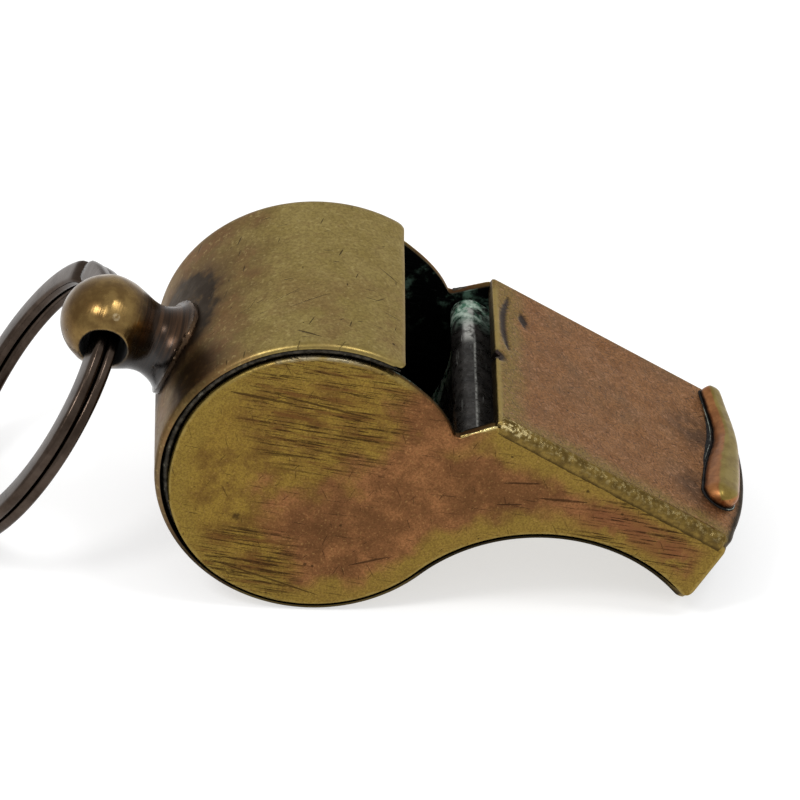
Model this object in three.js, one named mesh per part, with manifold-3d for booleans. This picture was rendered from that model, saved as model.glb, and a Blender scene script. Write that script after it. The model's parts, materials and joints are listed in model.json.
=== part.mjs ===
// A pea whistle of soldered sheet brass, with a split ring on a turned ball stud.
// Millimetres, +Z up. The whistle stands on its barrel and on the lower edge of its mouth, with the
// mouth towards +X, the barrel's axis along Y, and the origin on the floor under the middle of its box.
import * as THREE from "three";
import { mergeVertices } from "three/addons/utils/BufferGeometryUtils.js";
import Module from "manifold-3d";

const wasm = await Module();
wasm.setup();
const radians = THREE.MathUtils.degToRad;

// Driving dimensions: sheets, and the room that solder and running fits take
const BAND_SHEET = 0.6;
const SIDE_SHEET = 0.8;
const TOP_SHEET = 0.7;
const RAMP_SHEET = 0.4;
const SOLDER_GAP = 0.3;
const BAND_EDGE_ROUND = 0.5;
const SIDE_EDGE_CHAMFER = 0.15;
const TOP_EDGE_CHAMFER = 0.2;

// Driving dimensions: barrel and window, with angles counted from the mouthpiece's direction
const BARREL_DIAMETER = 22;
const BODY_WIDTH = 18.4;
const LIP_ANGLE = radians(88);
const NOTCH_ANGLE = radians(52.5);
const WINDOW_LENGTH = 7.8;

// Driving dimensions: mouthpiece
const TOP_DROP = 0.45;
const MOUTH_THICKNESS = 4.9;
const THROAT_RADIUS = 12;
const MOUTH_REACH = 28.4;
const MOUTH_CROWN = 1.45;
const WINDWAY_EXIT = 1.3;
const WINDWAY_MOUTH = 2.6;
const NOSE_RADIUS = 1.2;
const RAMP_LAP = 1.8;
const RAMP_SET_BACK = 0.5;

// Driving dimensions: tooth bead on the mouthpiece's top
const BEAD_WIDTH = 2.4;
const BEAD_HEIGHT = 1.1;
const BEAD_CROWN = 0.75;
const BEAD_SPAN = 13;
const BEAD_OFF_CENTRE = 1.4;
const BEAD_RIM = 0.45;

// Driving dimensions: stud on the back of the barrel
const STUD_ANGLE = radians(186.5);
const BALL_DIAMETER = 6.4;
const BALL_REACH = 4.85;
const NECK_DIAMETER = 4.6;
const FOOT_DIAMETER = 6.8;
const FOOT_RIM = 0.4;
const HOLE_DROP = 0.5;

// Driving dimensions: split ring and pea
const RING_DIAMETER = 21.4;
const RING_LEAN = radians(12);
const RING_TWIST = radians(2);
const WIRE_WIDTH = 1.7;
const WIRE_THICKNESS = 0.68;
const RING_TURN_GAP = 0.42;
const RING_JOG_ANGLE = radians(30);
const RING_JOG_PLACE = radians(66.5);
const RING_END_GAP = radians(4);
const RING_HOLE_PLAY = 0.16;
const PEA_DIAMETER = 12;
const PEA_CLEARANCE = 0.2;

// How finely round shapes are faceted
const BARREL_STEPS = 52;
const THROAT_STEPS = 18;
const ARC_STEPS = 8;
const BEAD_STEPS = 18;
const EDGE_STEPS = 3;
const TURNED_STEPS = 32;
const RING_STEPS = 44;
const WIRE_STEPS = 10;
const WELD = 1e-4;

// Sizes that follow, in the playing position: mouthpiece level, barrel axis at the origin
const barrelRadius = BARREL_DIAMETER / 2;
const boreRadius = barrelRadius - BAND_SHEET;
const plateRadius = boreRadius - SOLDER_GAP;
const innerWidth = BODY_WIDTH - 2 * SIDE_SHEET;
const topLevel = barrelRadius - TOP_DROP;
const topUnderside = topLevel - TOP_SHEET;
const topStart = barrelRadius * Math.cos(LIP_ANGLE) + WINDOW_LENGTH;

// The throat's arc is tangent to the barrel, and its crown sets the mouthpiece's thickness
const throatHeight = topLevel - MOUTH_THICKNESS - THROAT_RADIUS;
const throatX = Math.sqrt((barrelRadius + THROAT_RADIUS) ** 2 - throatHeight ** 2);
const tangentAngle = Math.atan2(throatHeight, throatX);

// The mouth's end is an arc in plan
const mouthRadius = ((BODY_WIDTH / 2) ** 2 + MOUTH_CROWN ** 2) / (2 * MOUTH_CROWN);
const mouthCentreX = MOUTH_REACH - mouthRadius;
const mouthCornerX = MOUTH_REACH - MOUTH_CROWN;
const mouthHalfAngle = Math.asin(BODY_WIDTH / 2 / mouthRadius);
const pastMouth = MOUTH_REACH + SIDE_SHEET;

// The ramp's wall laps the band inside the barrel, and its nose is tangent to that wall
const rampWallRadius = plateRadius - RAMP_SHEET;
const noseHeight = topUnderside - WINDWAY_EXIT - NOSE_RADIUS;
const noseX = Math.sqrt((rampWallRadius + NOSE_RADIUS) ** 2 - noseHeight ** 2);
const noseAngle = Math.atan2(noseHeight, noseX);
const rampFall = Math.atan2(WINDWAY_MOUTH - WINDWAY_EXIT, MOUTH_REACH - noseX);
const rampEndAngle = tangentAngle - RAMP_LAP / rampWallRadius;

// Stud and ring
const ballRadius = BALL_DIAMETER / 2;
const neckRadius = NECK_DIAMETER / 2;
const footRadius = FOOT_DIAMETER / 2;
const ballDistance = barrelRadius + BALL_REACH;
const ringRadius = (RING_DIAMETER - WIRE_WIDTH) / 2;
const layerOffset = (WIRE_THICKNESS + RING_TURN_GAP) / 2;
const wireOval = new THREE.EllipseCurve(0, 0, WIRE_THICKNESS / 2, WIRE_WIDTH / 2);
const wireSection = wireOval.getPoints(WIRE_STEPS).slice(0, WIRE_STEPS);
const wireReach = Math.max(...wireSection.map((p) => Math.hypot(layerOffset + p.x, p.y)));

// Inside the ball the curved, leaning wire strays from a straight line, and the hole's axis is set halfway
const ringSag = ringRadius - Math.sqrt(ringRadius ** 2 - ballRadius ** 2);
const nearStray = ringSag + ballRadius * Math.sin(RING_LEAN);
const farStray = Math.min(0, ringSag - ballRadius * Math.sin(RING_LEAN));
const ringHang = ringRadius - (nearStray + farStray) / 2;
const holeRadius = wireReach + (nearStray - farStray) / 2 + RING_HOLE_PLAY;
const peaOrbit = rampWallRadius - PEA_CLEARANCE - PEA_DIAMETER / 2;

// The middle of the mouth's lower edge and the barrel set the angle at which the whistle stands
const mouthBottom = throatHeight + Math.sqrt(THROAT_RADIUS ** 2 - (MOUTH_REACH - throatX) ** 2);
const tipDistance = Math.hypot(MOUTH_REACH, mouthBottom);
const restTilt = Math.atan2(mouthBottom, MOUTH_REACH) + Math.asin(barrelRadius / tipDistance);

// Materials
const agedBrass = { color: 0x8a7440, roughness: 0.42, metalness: 1 };
const brownedBrass = { color: 0x84603f, roughness: 0.45, metalness: 1 };
const darkBrass = { color: 0x3b3830, roughness: 0.5, metalness: 1 };
const ringMetal = { color: 0x4d443d, roughness: 0.38, metalness: 1 };
const cork = { color: 0x9a6f45, roughness: 0.9, metalness: 0 };

// A closed geometry as a solid for cutting, with its shared vertices merged
function toSolid(geometry) {
  const loose = geometry.index ? geometry.toNonIndexed() : geometry;
  const bare = new THREE.BufferGeometry().setAttribute("position", loose.getAttribute("position"));
  const merged = mergeVertices(bare, WELD);
  const corners = merged.index.array;
  const triVerts = [];
  for (let i = 0; i < corners.length; i += 3) {
    const [a, b, c] = corners.slice(i, i + 3);
    if (a !== b && b !== c && c !== a) triVerts.push(a, b, c);
  }
  const vertProperties = merged.getAttribute("position").array;
  return new wasm.Manifold(
    new wasm.Mesh({ numProp: 3, vertProperties, triVerts: new Uint32Array(triVerts) }),
  );
}

// A solid back as a geometry with flat normals
function toGeometry(solid) {
  const mesh = solid.getMesh();
  const geometry = new THREE.BufferGeometry();
  geometry.setAttribute("position", new THREE.BufferAttribute(mesh.vertProperties, mesh.numProp));
  geometry.setIndex(new THREE.BufferAttribute(mesh.triVerts, 1));
  const faceted = geometry.toNonIndexed();
  faceted.computeVertexNormals();
  return faceted;
}

// A section carried along stations: each has a point and two axes for the section's coordinates.
// The section runs counter-clockwise, and its first axis crossed with its second points along the way.
function sweep(section, stations) {
  const rings = stations.map(({ point, first, second }) =>
    section.map((s) => point.clone().addScaledVector(first, s.x).addScaledVector(second, s.y)),
  );
  const count = section.length;
  const triangles = [];
  for (let i = 0; i + 1 < rings.length; i++) {
    for (let j = 0; j < count; j++) {
      const k = (j + 1) % count;
      triangles.push(rings[i][j], rings[i][k], rings[i + 1][k]);
      triangles.push(rings[i][j], rings[i + 1][k], rings[i + 1][j]);
    }
  }
  const last = rings[rings.length - 1];
  for (const [a, b, c] of THREE.ShapeUtils.triangulateShape(section, [])) {
    triangles.push(rings[0][a], rings[0][c], rings[0][b]);
    triangles.push(last[a], last[b], last[c]);
  }
  const geometry = new THREE.BufferGeometry().setFromPoints(triangles);
  geometry.computeVertexNormals();
  return geometry;
}

// A rectangle with its two right-hand corners rounded, counter-clockwise, as a section for a sweep
function roundedSection(left, right, low, high, radius) {
  const corner = (y, start) =>
    Array.from({ length: EDGE_STEPS + 1 }, (_, i) => {
      const angle = start + (Math.PI / 2) * (i / EDGE_STEPS);
      return new THREE.Vector2(right - radius + radius * Math.cos(angle), y + radius * Math.sin(angle));
    });
  return [
    new THREE.Vector2(left, low),
    ...corner(low + radius, -Math.PI / 2),
    ...corner(high - radius, 0),
    new THREE.Vector2(left, high),
  ];
}

// An outline in the side view, drawn with z as its second coordinate, made as thick as asked along Y
function extrudeAcross(outline, thickness, chamfer, curveSegments) {
  const geometry = new THREE.ExtrudeGeometry(outline, {
    depth: thickness - 2 * chamfer,
    curveSegments,
    bevelEnabled: chamfer > 0,
    bevelThickness: chamfer,
    bevelSize: chamfer,
    bevelOffset: -chamfer,
    bevelSegments: 1,
  });
  geometry.translate(0, 0, chamfer - thickness / 2);
  geometry.rotateX(Math.PI / 2);
  return geometry;
}

// Everything on the whistle's side of the mouth's curved end, to trim the sheets there
function mouthTrim(setBack) {
  const outline = new THREE.Shape();
  const depth = 2 * BARREL_DIAMETER;
  outline.moveTo(-BARREL_DIAMETER, -BODY_WIDTH);
  outline.lineTo(mouthCornerX, -BODY_WIDTH);
  outline.absarc(mouthCentreX, 0, mouthRadius, -mouthHalfAngle, mouthHalfAngle, false);
  outline.lineTo(mouthCornerX, BODY_WIDTH);
  outline.lineTo(-BARREL_DIAMETER, BODY_WIDTH);
  outline.closePath();
  const geometry = new THREE.ExtrudeGeometry(outline, { depth, curveSegments: ARC_STEPS, bevelEnabled: false });
  return toSolid(geometry.translate(-setBack, 0, -depth / 2));
}

// Barrel wall from the lip round to the throat, then the mouthpiece's underside
function barrelBand() {
  const across = new THREE.Vector3(0, 1, 0);
  const stations = [];
  const addArc = (x, z, radius, from, to, steps, outward) => {
    for (let i = stations.length ? 1 : 0; i <= steps; i++) {
      const angle = from + ((to - from) * i) / steps;
      const radial = new THREE.Vector3(Math.cos(angle), 0, Math.sin(angle));
      const point = new THREE.Vector3(x, 0, z).addScaledVector(radial, radius);
      stations.push({ point, first: radial.multiplyScalar(outward), second: across });
    }
  };
  const throatEnd = Math.acos((pastMouth - throatX) / THROAT_RADIUS);
  addArc(0, 0, barrelRadius, LIP_ANGLE, 2 * Math.PI + tangentAngle, BARREL_STEPS, 1);
  addArc(throatX, throatHeight, THROAT_RADIUS, Math.PI + tangentAngle, throatEnd, THROAT_STEPS, -1);
  const half = BODY_WIDTH / 2;
  const section = roundedSection(-BAND_SHEET, 0, -half, half, BAND_EDGE_ROUND);
  return toGeometry(toSolid(sweep(section, stations)).intersect(mouthTrim(0)));
}

// Side plate inside the band's edge, with the notch at the window; side is -1 for the near one
function sidePlate(side) {
  const outline = new THREE.Shape();
  const throatEdge = THROAT_RADIUS + BAND_SHEET + SOLDER_GAP;
  const throatEnd = Math.acos((pastMouth - throatX) / throatEdge);
  const upperEdge = topUnderside - SOLDER_GAP;
  outline.absarc(0, 0, plateRadius, NOTCH_ANGLE, 2 * Math.PI + tangentAngle, false);
  outline.absarc(throatX, throatHeight, throatEdge, Math.PI + tangentAngle, throatEnd, true);
  outline.lineTo(pastMouth, upperEdge);
  outline.lineTo(topStart, upperEdge);
  outline.closePath();
  const plate = extrudeAcross(outline, SIDE_SHEET, SIDE_EDGE_CHAMFER, BARREL_STEPS / 2);
  plate.translate(0, (side * (BODY_WIDTH - SIDE_SHEET)) / 2, 0);
  return toGeometry(toSolid(plate).intersect(mouthTrim(0)));
}

// Flat top of the mouthpiece, from the window to the curved mouth
function mouthpieceTop() {
  const outline = new THREE.Shape();
  const half = BODY_WIDTH / 2;
  outline.moveTo(topStart, -half);
  outline.lineTo(mouthCornerX, -half);
  outline.absarc(mouthCentreX, 0, mouthRadius, -mouthHalfAngle, mouthHalfAngle, false);
  outline.lineTo(topStart, half);
  outline.closePath();
  const geometry = new THREE.ExtrudeGeometry(outline, {
    depth: TOP_SHEET - 2 * TOP_EDGE_CHAMFER,
    curveSegments: ARC_STEPS,
    bevelThickness: TOP_EDGE_CHAMFER,
    bevelSize: TOP_EDGE_CHAMFER,
    bevelOffset: -TOP_EDGE_CHAMFER,
    bevelSegments: 1,
  });
  return geometry.translate(0, 0, topUnderside + TOP_EDGE_CHAMFER);
}

// Windway floor: flat under the top plate, rolled over at the window, then down along the barrel's bore
function windwayFloor() {
  const outline = new THREE.Shape();
  const outerNose = Math.PI / 2 - rampFall;
  const innerNose = NOSE_RADIUS - RAMP_SHEET;
  const along = new THREE.Vector2(Math.cos(rampFall), -Math.sin(rampFall));
  const square = new THREE.Vector2(Math.sin(rampFall), Math.cos(rampFall));
  const floorEnd = (radius) =>
    new THREE.Vector2(noseX, noseHeight)
      .addScaledVector(square, radius)
      .addScaledVector(along, pastMouth - noseX);
  const upper = floorEnd(NOSE_RADIUS);
  const lower = floorEnd(innerNose);
  outline.absarc(noseX, noseHeight, NOSE_RADIUS, outerNose, Math.PI + noseAngle, false);
  outline.absarc(0, 0, rampWallRadius, noseAngle, rampEndAngle, true);
  outline.absarc(0, 0, plateRadius, rampEndAngle, noseAngle, false);
  outline.absarc(noseX, noseHeight, innerNose, Math.PI + noseAngle, outerNose, true);
  outline.lineTo(lower.x, lower.y);
  outline.lineTo(upper.x, upper.y);
  outline.closePath();
  const floor = extrudeAcross(outline, innerWidth - 2 * SOLDER_GAP, 0, ARC_STEPS);
  return toGeometry(toSolid(floor).intersect(mouthTrim(RAMP_SET_BACK)));
}

// Half-round bar that follows the mouth's curve, with rounded ends
function toothBead() {
  const up = new THREE.Vector3(0, 0, 1);
  const middleRadius = mouthRadius - BEAD_RIM - BEAD_WIDTH / 2;
  const seat = topLevel + SOLDER_GAP;
  const from = Math.asin((BEAD_OFF_CENTRE - BEAD_SPAN / 2) / middleRadius);
  const to = Math.asin((BEAD_OFF_CENTRE + BEAD_SPAN / 2) / middleRadius);
  const endTurn = BEAD_WIDTH / 2 / middleRadius;
  const crown = roundedSection(0, BEAD_HEIGHT, -BEAD_WIDTH / 2, BEAD_WIDTH / 2, BEAD_CROWN);
  const stations = [];
  for (let i = 1; i < BEAD_STEPS; i++) {
    const angle = from + ((to - from) * (1 - Math.cos((Math.PI * i) / BEAD_STEPS))) / 2;
    const fromEnd = Math.min(angle - from, to - angle, endTurn) / endTurn;
    const share = Math.sqrt(1 - (1 - fromEnd) ** 2);
    const radial = new THREE.Vector3(Math.cos(angle), Math.sin(angle), 0);
    const point = new THREE.Vector3(mouthCentreX, 0, seat).addScaledVector(radial, middleRadius);
    stations.push({ point, first: up, second: radial.multiplyScalar(share) });
  }
  return sweep(crown, stations);
}

// Turned stud: ball, neck and flared foot, dressed down to the barrel's round and drilled for the ring
function ringStud() {
  const footTop = barrelRadius + FOOT_RIM;
  const neckTop = ballDistance - Math.sqrt(ballRadius ** 2 - neckRadius ** 2);
  const footBottom = Math.sqrt(barrelRadius ** 2 - footRadius ** 2) - FOOT_RIM;
  const profile = [new THREE.Vector2(0, footBottom), new THREE.Vector2(footRadius, footBottom)];
  for (let i = 0; i <= ARC_STEPS; i++) {
    const turn = (Math.PI / 2) * (i / ARC_STEPS);
    const radius = footRadius - (footRadius - neckRadius) * Math.sin(turn);
    profile.push(new THREE.Vector2(radius, footTop + (neckTop - footTop) * (1 - Math.cos(turn))));
  }
  const ballStart = Math.asin(neckRadius / ballRadius);
  for (let i = 1; i <= 2 * ARC_STEPS; i++) {
    const angle = ballStart + (Math.PI - ballStart) * (i / (2 * ARC_STEPS));
    const radius = i === 2 * ARC_STEPS ? 0 : ballRadius * Math.sin(angle);
    profile.push(new THREE.Vector2(radius, ballDistance - ballRadius * Math.cos(angle)));
  }
  const turning = new THREE.LatheGeometry(profile, TURNED_STEPS).rotateX(Math.PI / 2);
  const place = turning.getAttribute("position");
  for (let i = 0; i < place.count; i++) {
    const share = THREE.MathUtils.clamp((neckTop - place.getZ(i)) / (neckTop - footTop), 0, 1);
    const drop = barrelRadius - Math.sqrt(barrelRadius ** 2 - place.getX(i) ** 2);
    place.setZ(i, place.getZ(i) - share * drop);
  }
  const turned = toSolid(turning);
  const seat = new THREE.CylinderGeometry(
    barrelRadius + SOLDER_GAP,
    barrelRadius + SOLDER_GAP,
    BODY_WIDTH,
    2 * TURNED_STEPS,
  );
  const drill = new THREE.CylinderGeometry(holeRadius, holeRadius, BODY_WIDTH, TURNED_STEPS);
  drill.translate(-HOLE_DROP, 0, ballDistance);
  const stud = turned.subtract(toSolid(seat)).subtract(toSolid(drill));
  return toGeometry(stud).rotateY(Math.PI / 2 - STUD_ANGLE);
}

// One flattened wire in two turns. It hangs from the origin along -Z, with the ring's axis along X.
function splitRing() {
  const axis = new THREE.Vector3(1, 0, 0);
  const step = (2 * Math.PI) / RING_STEPS;
  const endSteps = Math.ceil((RING_JOG_ANGLE / 2 + RING_END_GAP) / step);
  const stations = [];
  for (let i = endSteps; i <= 2 * RING_STEPS - endSteps; i++) {
    const fromJog = ((i - RING_STEPS) * step) / RING_JOG_ANGLE;
    const climb = THREE.MathUtils.smoothstep(fromJog, -0.5, 0.5);
    const place = RING_JOG_PLACE - i * step;
    const radial = new THREE.Vector3(0, Math.sin(place), Math.cos(place));
    const point = radial.clone().multiplyScalar(ringRadius);
    point.add(new THREE.Vector3(layerOffset * (2 * climb - 1), 0, -ringHang));
    stations.push({ point, first: axis, second: radial });
  }
  console.log(`least gap of the split ring to itself: ${leastGap(wireSection, stations).toFixed(3)} mm`);
  return sweep(wireSection, stations);
}

// The smallest distance between points of a swept section on stations more than a quarter turn apart
function leastGap(section, stations) {
  const rings = stations.map(({ point, first, second }) =>
    section.map((s) => point.clone().addScaledVector(first, s.x).addScaledVector(second, s.y)),
  );
  const apart = Math.ceil(RING_STEPS / 4);
  let least = Infinity;
  for (let i = 0; i < rings.length; i++) {
    for (let j = i + apart; j < rings.length; j++) {
      for (const a of rings[i]) {
        for (const b of rings[j]) least = Math.min(least, a.distanceTo(b));
      }
    }
  }
  return least;
}

function named(name, geometry, finish) {
  const mesh = new THREE.Mesh(geometry, new THREE.MeshStandardMaterial(finish));
  mesh.name = name;
  return mesh;
}

// The soldered body, built in the playing position and tipped on to its mouth
const body = new THREE.Group();
body.add(named("barrel_band", barrelBand(), agedBrass));
body.add(named("near_side_plate", sidePlate(-1), agedBrass));
body.add(named("far_side_plate", sidePlate(1), agedBrass));
body.add(named("mouthpiece_top", mouthpieceTop(), brownedBrass));
body.add(named("windway_floor", windwayFloor(), darkBrass));
body.add(named("tooth_bead", toothBead(), brownedBrass));
body.add(named("ring_stud", ringStud(), agedBrass));
body.rotation.y = restTilt;

// The ring swings about the stud's hole, leans to the far side and tips out until it lies on the floor
const swing = new THREE.Group();
swing.position.set(-HOLE_DROP, 0, ballDistance);
swing.position.applyAxisAngle(new THREE.Vector3(0, 1, 0), Math.PI / 2 - STUD_ANGLE + restTilt);
const ring = named("split_ring", splitRing(), ringMetal);
ring.rotation.set(RING_LEAN, 0, RING_TWIST);
const ringDrop = swing.position.z + barrelRadius - wireReach;
const ringLength = ringHang * Math.cos(RING_LEAN) + ringRadius;
swing.rotation.y = Math.acos(Math.min(1, ringDrop / ringLength));
swing.add(ring);

// The pea lies at the bottom of the chamber
const pea = named("pea", new THREE.SphereGeometry(PEA_DIAMETER / 2, TURNED_STEPS, TURNED_STEPS / 2), cork);
pea.position.z = -peaOrbit;

const standing = new THREE.Group();
standing.add(body, swing, pea);
const box = new THREE.Box3().setFromObject(standing, true);
standing.position.set(-(box.min.x + box.max.x) / 2, -(box.min.y + box.max.y) / 2, -box.min.z);

const whistle = new THREE.Group();
whistle.add(standing);
export default whistle;
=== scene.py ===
"""Looks of an old pea whistle in soldered sheet brass, with a split ring on a turned ball stud."""

import json
import logging
import math
from collections.abc import Callable, Iterable, Sequence
from dataclasses import dataclass, field
from enum import Enum
from functools import partial, reduce
from typing import NamedTuple

import bmesh
import bpy
import numpy as np
from mathutils import Matrix, Vector
from mathutils.geometry import delaunay_2d_cdt
from numpy.typing import NDArray

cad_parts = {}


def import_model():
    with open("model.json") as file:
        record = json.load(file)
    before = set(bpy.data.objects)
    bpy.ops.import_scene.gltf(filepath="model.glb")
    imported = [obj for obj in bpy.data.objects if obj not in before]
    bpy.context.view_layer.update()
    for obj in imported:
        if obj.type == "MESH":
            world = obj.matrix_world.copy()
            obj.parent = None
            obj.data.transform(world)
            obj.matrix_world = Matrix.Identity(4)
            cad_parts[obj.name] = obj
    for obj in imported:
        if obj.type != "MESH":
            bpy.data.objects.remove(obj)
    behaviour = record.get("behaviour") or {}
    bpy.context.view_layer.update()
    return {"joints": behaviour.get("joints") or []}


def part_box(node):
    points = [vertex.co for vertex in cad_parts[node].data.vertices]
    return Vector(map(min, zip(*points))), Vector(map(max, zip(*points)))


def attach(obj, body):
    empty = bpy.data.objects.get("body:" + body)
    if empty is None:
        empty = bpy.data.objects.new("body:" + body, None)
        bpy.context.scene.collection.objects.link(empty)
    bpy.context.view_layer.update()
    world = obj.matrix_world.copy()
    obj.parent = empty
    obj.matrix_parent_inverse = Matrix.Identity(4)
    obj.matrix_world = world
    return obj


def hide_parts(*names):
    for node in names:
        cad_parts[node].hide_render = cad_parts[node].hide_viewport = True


log = logging.getLogger("whistle")
Array = NDArray[np.float64]
Point = tuple[float, float]
Place = tuple[float, float, float]
Paint = tuple[int, int, int]
Colour = tuple[float, float, float, float]
Mesh = bpy.types.Mesh
Node = bpy.types.Node
Socket = bpy.types.NodeSocket
Tree = bpy.types.NodeTree
Feed = Socket | bpy.types.Material | float | int | bool | str | tuple[float, ...]
Feeds = dict[str, Feed]

MM = 0.001
CREASE = math.radians(50)
NEAR, FAR = -1, 1
WHITE = (1.0, 1.0, 1.0, 1.0)
DENT = 0.03
FACE_DEPTH = 1e-6
RING_SHARES = (0.08, 0.25, 0.5, 0.75, 1.0)
RING_SLACK = 0.85
PROBE = 1e-3
SOCKET_KINDS = {float: "Float", int: "Int"}


class Body(Enum):
    """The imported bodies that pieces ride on."""

    WHISTLE = "whistle"
    RING = "ring"
    PEA = "pea"


class Slot(Enum):
    """The record's material slots."""

    BAND = "aged_brass"
    PLATE = "plate_brass"
    TOP = "browned_brass"
    WINDWAY = "dark_brass"
    BEAD = "bead_brass"
    STUD = "stud_brass"
    RING = "ring_metal"
    PEA = "cork"


class Mark(Enum):
    """Values stored at a mesh's points for the finishes to read."""

    RIM = "rim"
    # Painted shade: colour darkened on insides, backs, edge walls, lower band edges, the stud's hole and
    # between the ring's turns.
    SOOT = "soot"
    # Nicks on the top plate, and painted shade at the ring wire's cut ends.
    NICK = "nick"


def srgb(paint: Paint) -> Colour:
    """A colour as seen on screen, in 0 to 255, made linear."""
    return (*(((c / 255 + 0.055) / 1.055) ** 2.4 if c > 10 else c / 3295 for c in paint), 1.0)


def smooth_share(values: Array, start: float, end: float) -> Array:
    """Eases from 0 at start to 1 at end."""
    t = np.clip((values - start) / (end - start), 0, 1)
    return t * t * (3 - 2 * t)


def ripple(points: Array, size: float, seed: int, waves: int = 9) -> Array:
    """Gives the smooth unevenness of sheet that was worked by hand.

    Args:
        points: Places in millimetres.
        size: Rough length of a wave in millimetres.
        seed: Fixed seed of the waves.
        waves: How many plain waves are added up.

    Returns:
        One value for each point, mostly between -1 and 1.
    """
    rng = np.random.default_rng(seed)
    total = np.zeros(len(points))
    for _ in range(waves):
        way = rng.normal(size=points.shape[1])
        way *= rng.uniform(0.6, 1.5) * math.tau / size / np.linalg.norm(way)
        total += np.sin(points @ way + rng.uniform(0, math.tau))
    return total / math.sqrt(waves)


def arc(centre: Point, radius: float, start: float, end: float, steps: int) -> list[list[float]]:
    """Points on a circle's arc, without its last one."""
    turns = start + (end - start) * np.arange(steps) / steps
    return np.column_stack([centre[0] + radius * np.cos(turns), centre[1] + radius * np.sin(turns)]).tolist()


def corner_cut(radius: float, inward: Array) -> Array:
    """How far a rounded corner falls back at places that lie inward of its side."""
    short = np.clip(radius - inward, 0, radius)
    return radius - np.sqrt(radius**2 - short**2)


def upright(flat: Array, y: float) -> Array:
    """Points in the barrel's round, set at one place across the width."""
    return np.column_stack([flat[:, 0], np.full(len(flat), y), flat[:, 1]])


def blend_max(a: Array, b: Array, width: float) -> Array:
    """The larger of two fields, with a rounded change-over."""
    share = np.clip(0.5 + 0.5 * (a - b) / width, 0, 1)
    return b + (a - b) * share + width * share * (1 - share)


def blend_min(a: Array, b: Array, width: float) -> Array:
    """The smaller of two fields, with a rounded change-over."""
    return -blend_max(-a, -b, width)


@dataclass(frozen=True)
class WhistleSizes:
    """Sizes of the soldered body in millimetres: mouthpiece level, barrel axis at the origin."""

    barrel_radius: float = 11.0
    half_width: float = 9.2
    band_sheet: float = 0.6
    side_sheet: float = 0.8
    top_sheet: float = 0.7
    ramp_sheet: float = 0.4
    solder_gap: float = 0.3
    lip_angle: float = math.radians(88)
    notch_angle: float = math.radians(52.5)
    near_notch_drop: float = math.radians(1.7)
    window_length: float = 7.8
    top_drop: float = 0.45
    mouth_thickness: float = 4.9
    throat_radius: float = 12.0
    mouth_reach: float = 28.4
    mouth_crown: float = 1.2
    windway_exit: float = 1.3
    windway_mouth: float = 2.6
    nose_radius: float = 1.2
    ramp_lap: float = 1.8
    ramp_set_back: float = 0.5
    stud_angle: float = math.radians(186.5)

    @property
    def plate_radius(self) -> float:
        """Radius of the side plates, inside the band and its solder."""
        return self.barrel_radius - self.band_sheet - self.solder_gap

    @property
    def top_level(self) -> float:
        """Height of the mouthpiece's top."""
        return self.barrel_radius - self.top_drop

    @property
    def top_underside(self) -> float:
        """Height of the top plate's lower face."""
        return self.top_level - self.top_sheet

    @property
    def top_start(self) -> float:
        """Where the top plate starts at the window."""
        return self.barrel_radius * math.cos(self.lip_angle) + self.window_length

    @property
    def throat_height(self) -> float:
        """Height of the throat arc's centre."""
        return self.top_level - self.mouth_thickness - self.throat_radius

    @property
    def throat_x(self) -> float:
        """Place of the throat arc's centre along the mouthpiece."""
        return math.sqrt((self.barrel_radius + self.throat_radius) ** 2 - self.throat_height**2)

    @property
    def tangent_angle(self) -> float:
        """Angle at which the throat leaves the barrel."""
        return math.atan2(self.throat_height, self.throat_x)

    @property
    def mouth_radius(self) -> float:
        """Radius of the mouth's curved end in plan."""
        return (self.half_width**2 + self.mouth_crown**2) / (2 * self.mouth_crown)

    @property
    def mouth_centre(self) -> float:
        """Place of that curve's centre along the mouthpiece."""
        return self.mouth_reach - self.mouth_radius

    @property
    def mouth_corner(self) -> float:
        """Where the mouth's corners lie along the mouthpiece."""
        return self.mouth_reach - self.mouth_crown

    @property
    def rest_tilt(self) -> float:
        """Works out how far the mouth sinks when the whistle stands on barrel and mouth.

        Returns:
            The angle.
        """
        reach = self.mouth_reach - self.throat_x
        low = self.throat_height + math.sqrt(self.throat_radius**2 - reach**2)
        tip = math.hypot(self.mouth_reach, low)
        return math.atan2(low, self.mouth_reach) + math.asin(self.barrel_radius / tip)

    def notch(self, side: int) -> float:
        """Angle of a side plate's notch, which lies lower on the near side."""
        return self.notch_angle - (self.near_notch_drop if side < 0 else 0.0)

    def mouth_x(self, y: Array) -> Array:
        """Where the mouth's curved end lies at a place across the width."""
        return self.mouth_centre + np.sqrt(self.mouth_radius**2 - y**2)


@dataclass(frozen=True)
class Stance:
    """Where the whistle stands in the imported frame.

    Attributes:
        axis: Middle of the barrel's axis, in metres.
        hinge: Where the ring hangs in the stud, in metres.
        tilt: Angle by which the mouthpiece sinks towards the mouth.
    """

    axis: Vector
    hinge: Vector
    tilt: float

    @property
    def matrix(self) -> Matrix:
        """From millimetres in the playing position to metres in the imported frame."""
        return Matrix.Translation(self.axis) @ Matrix.Rotation(self.tilt, 4, "Y") @ Matrix.Scale(MM, 4)


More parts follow.
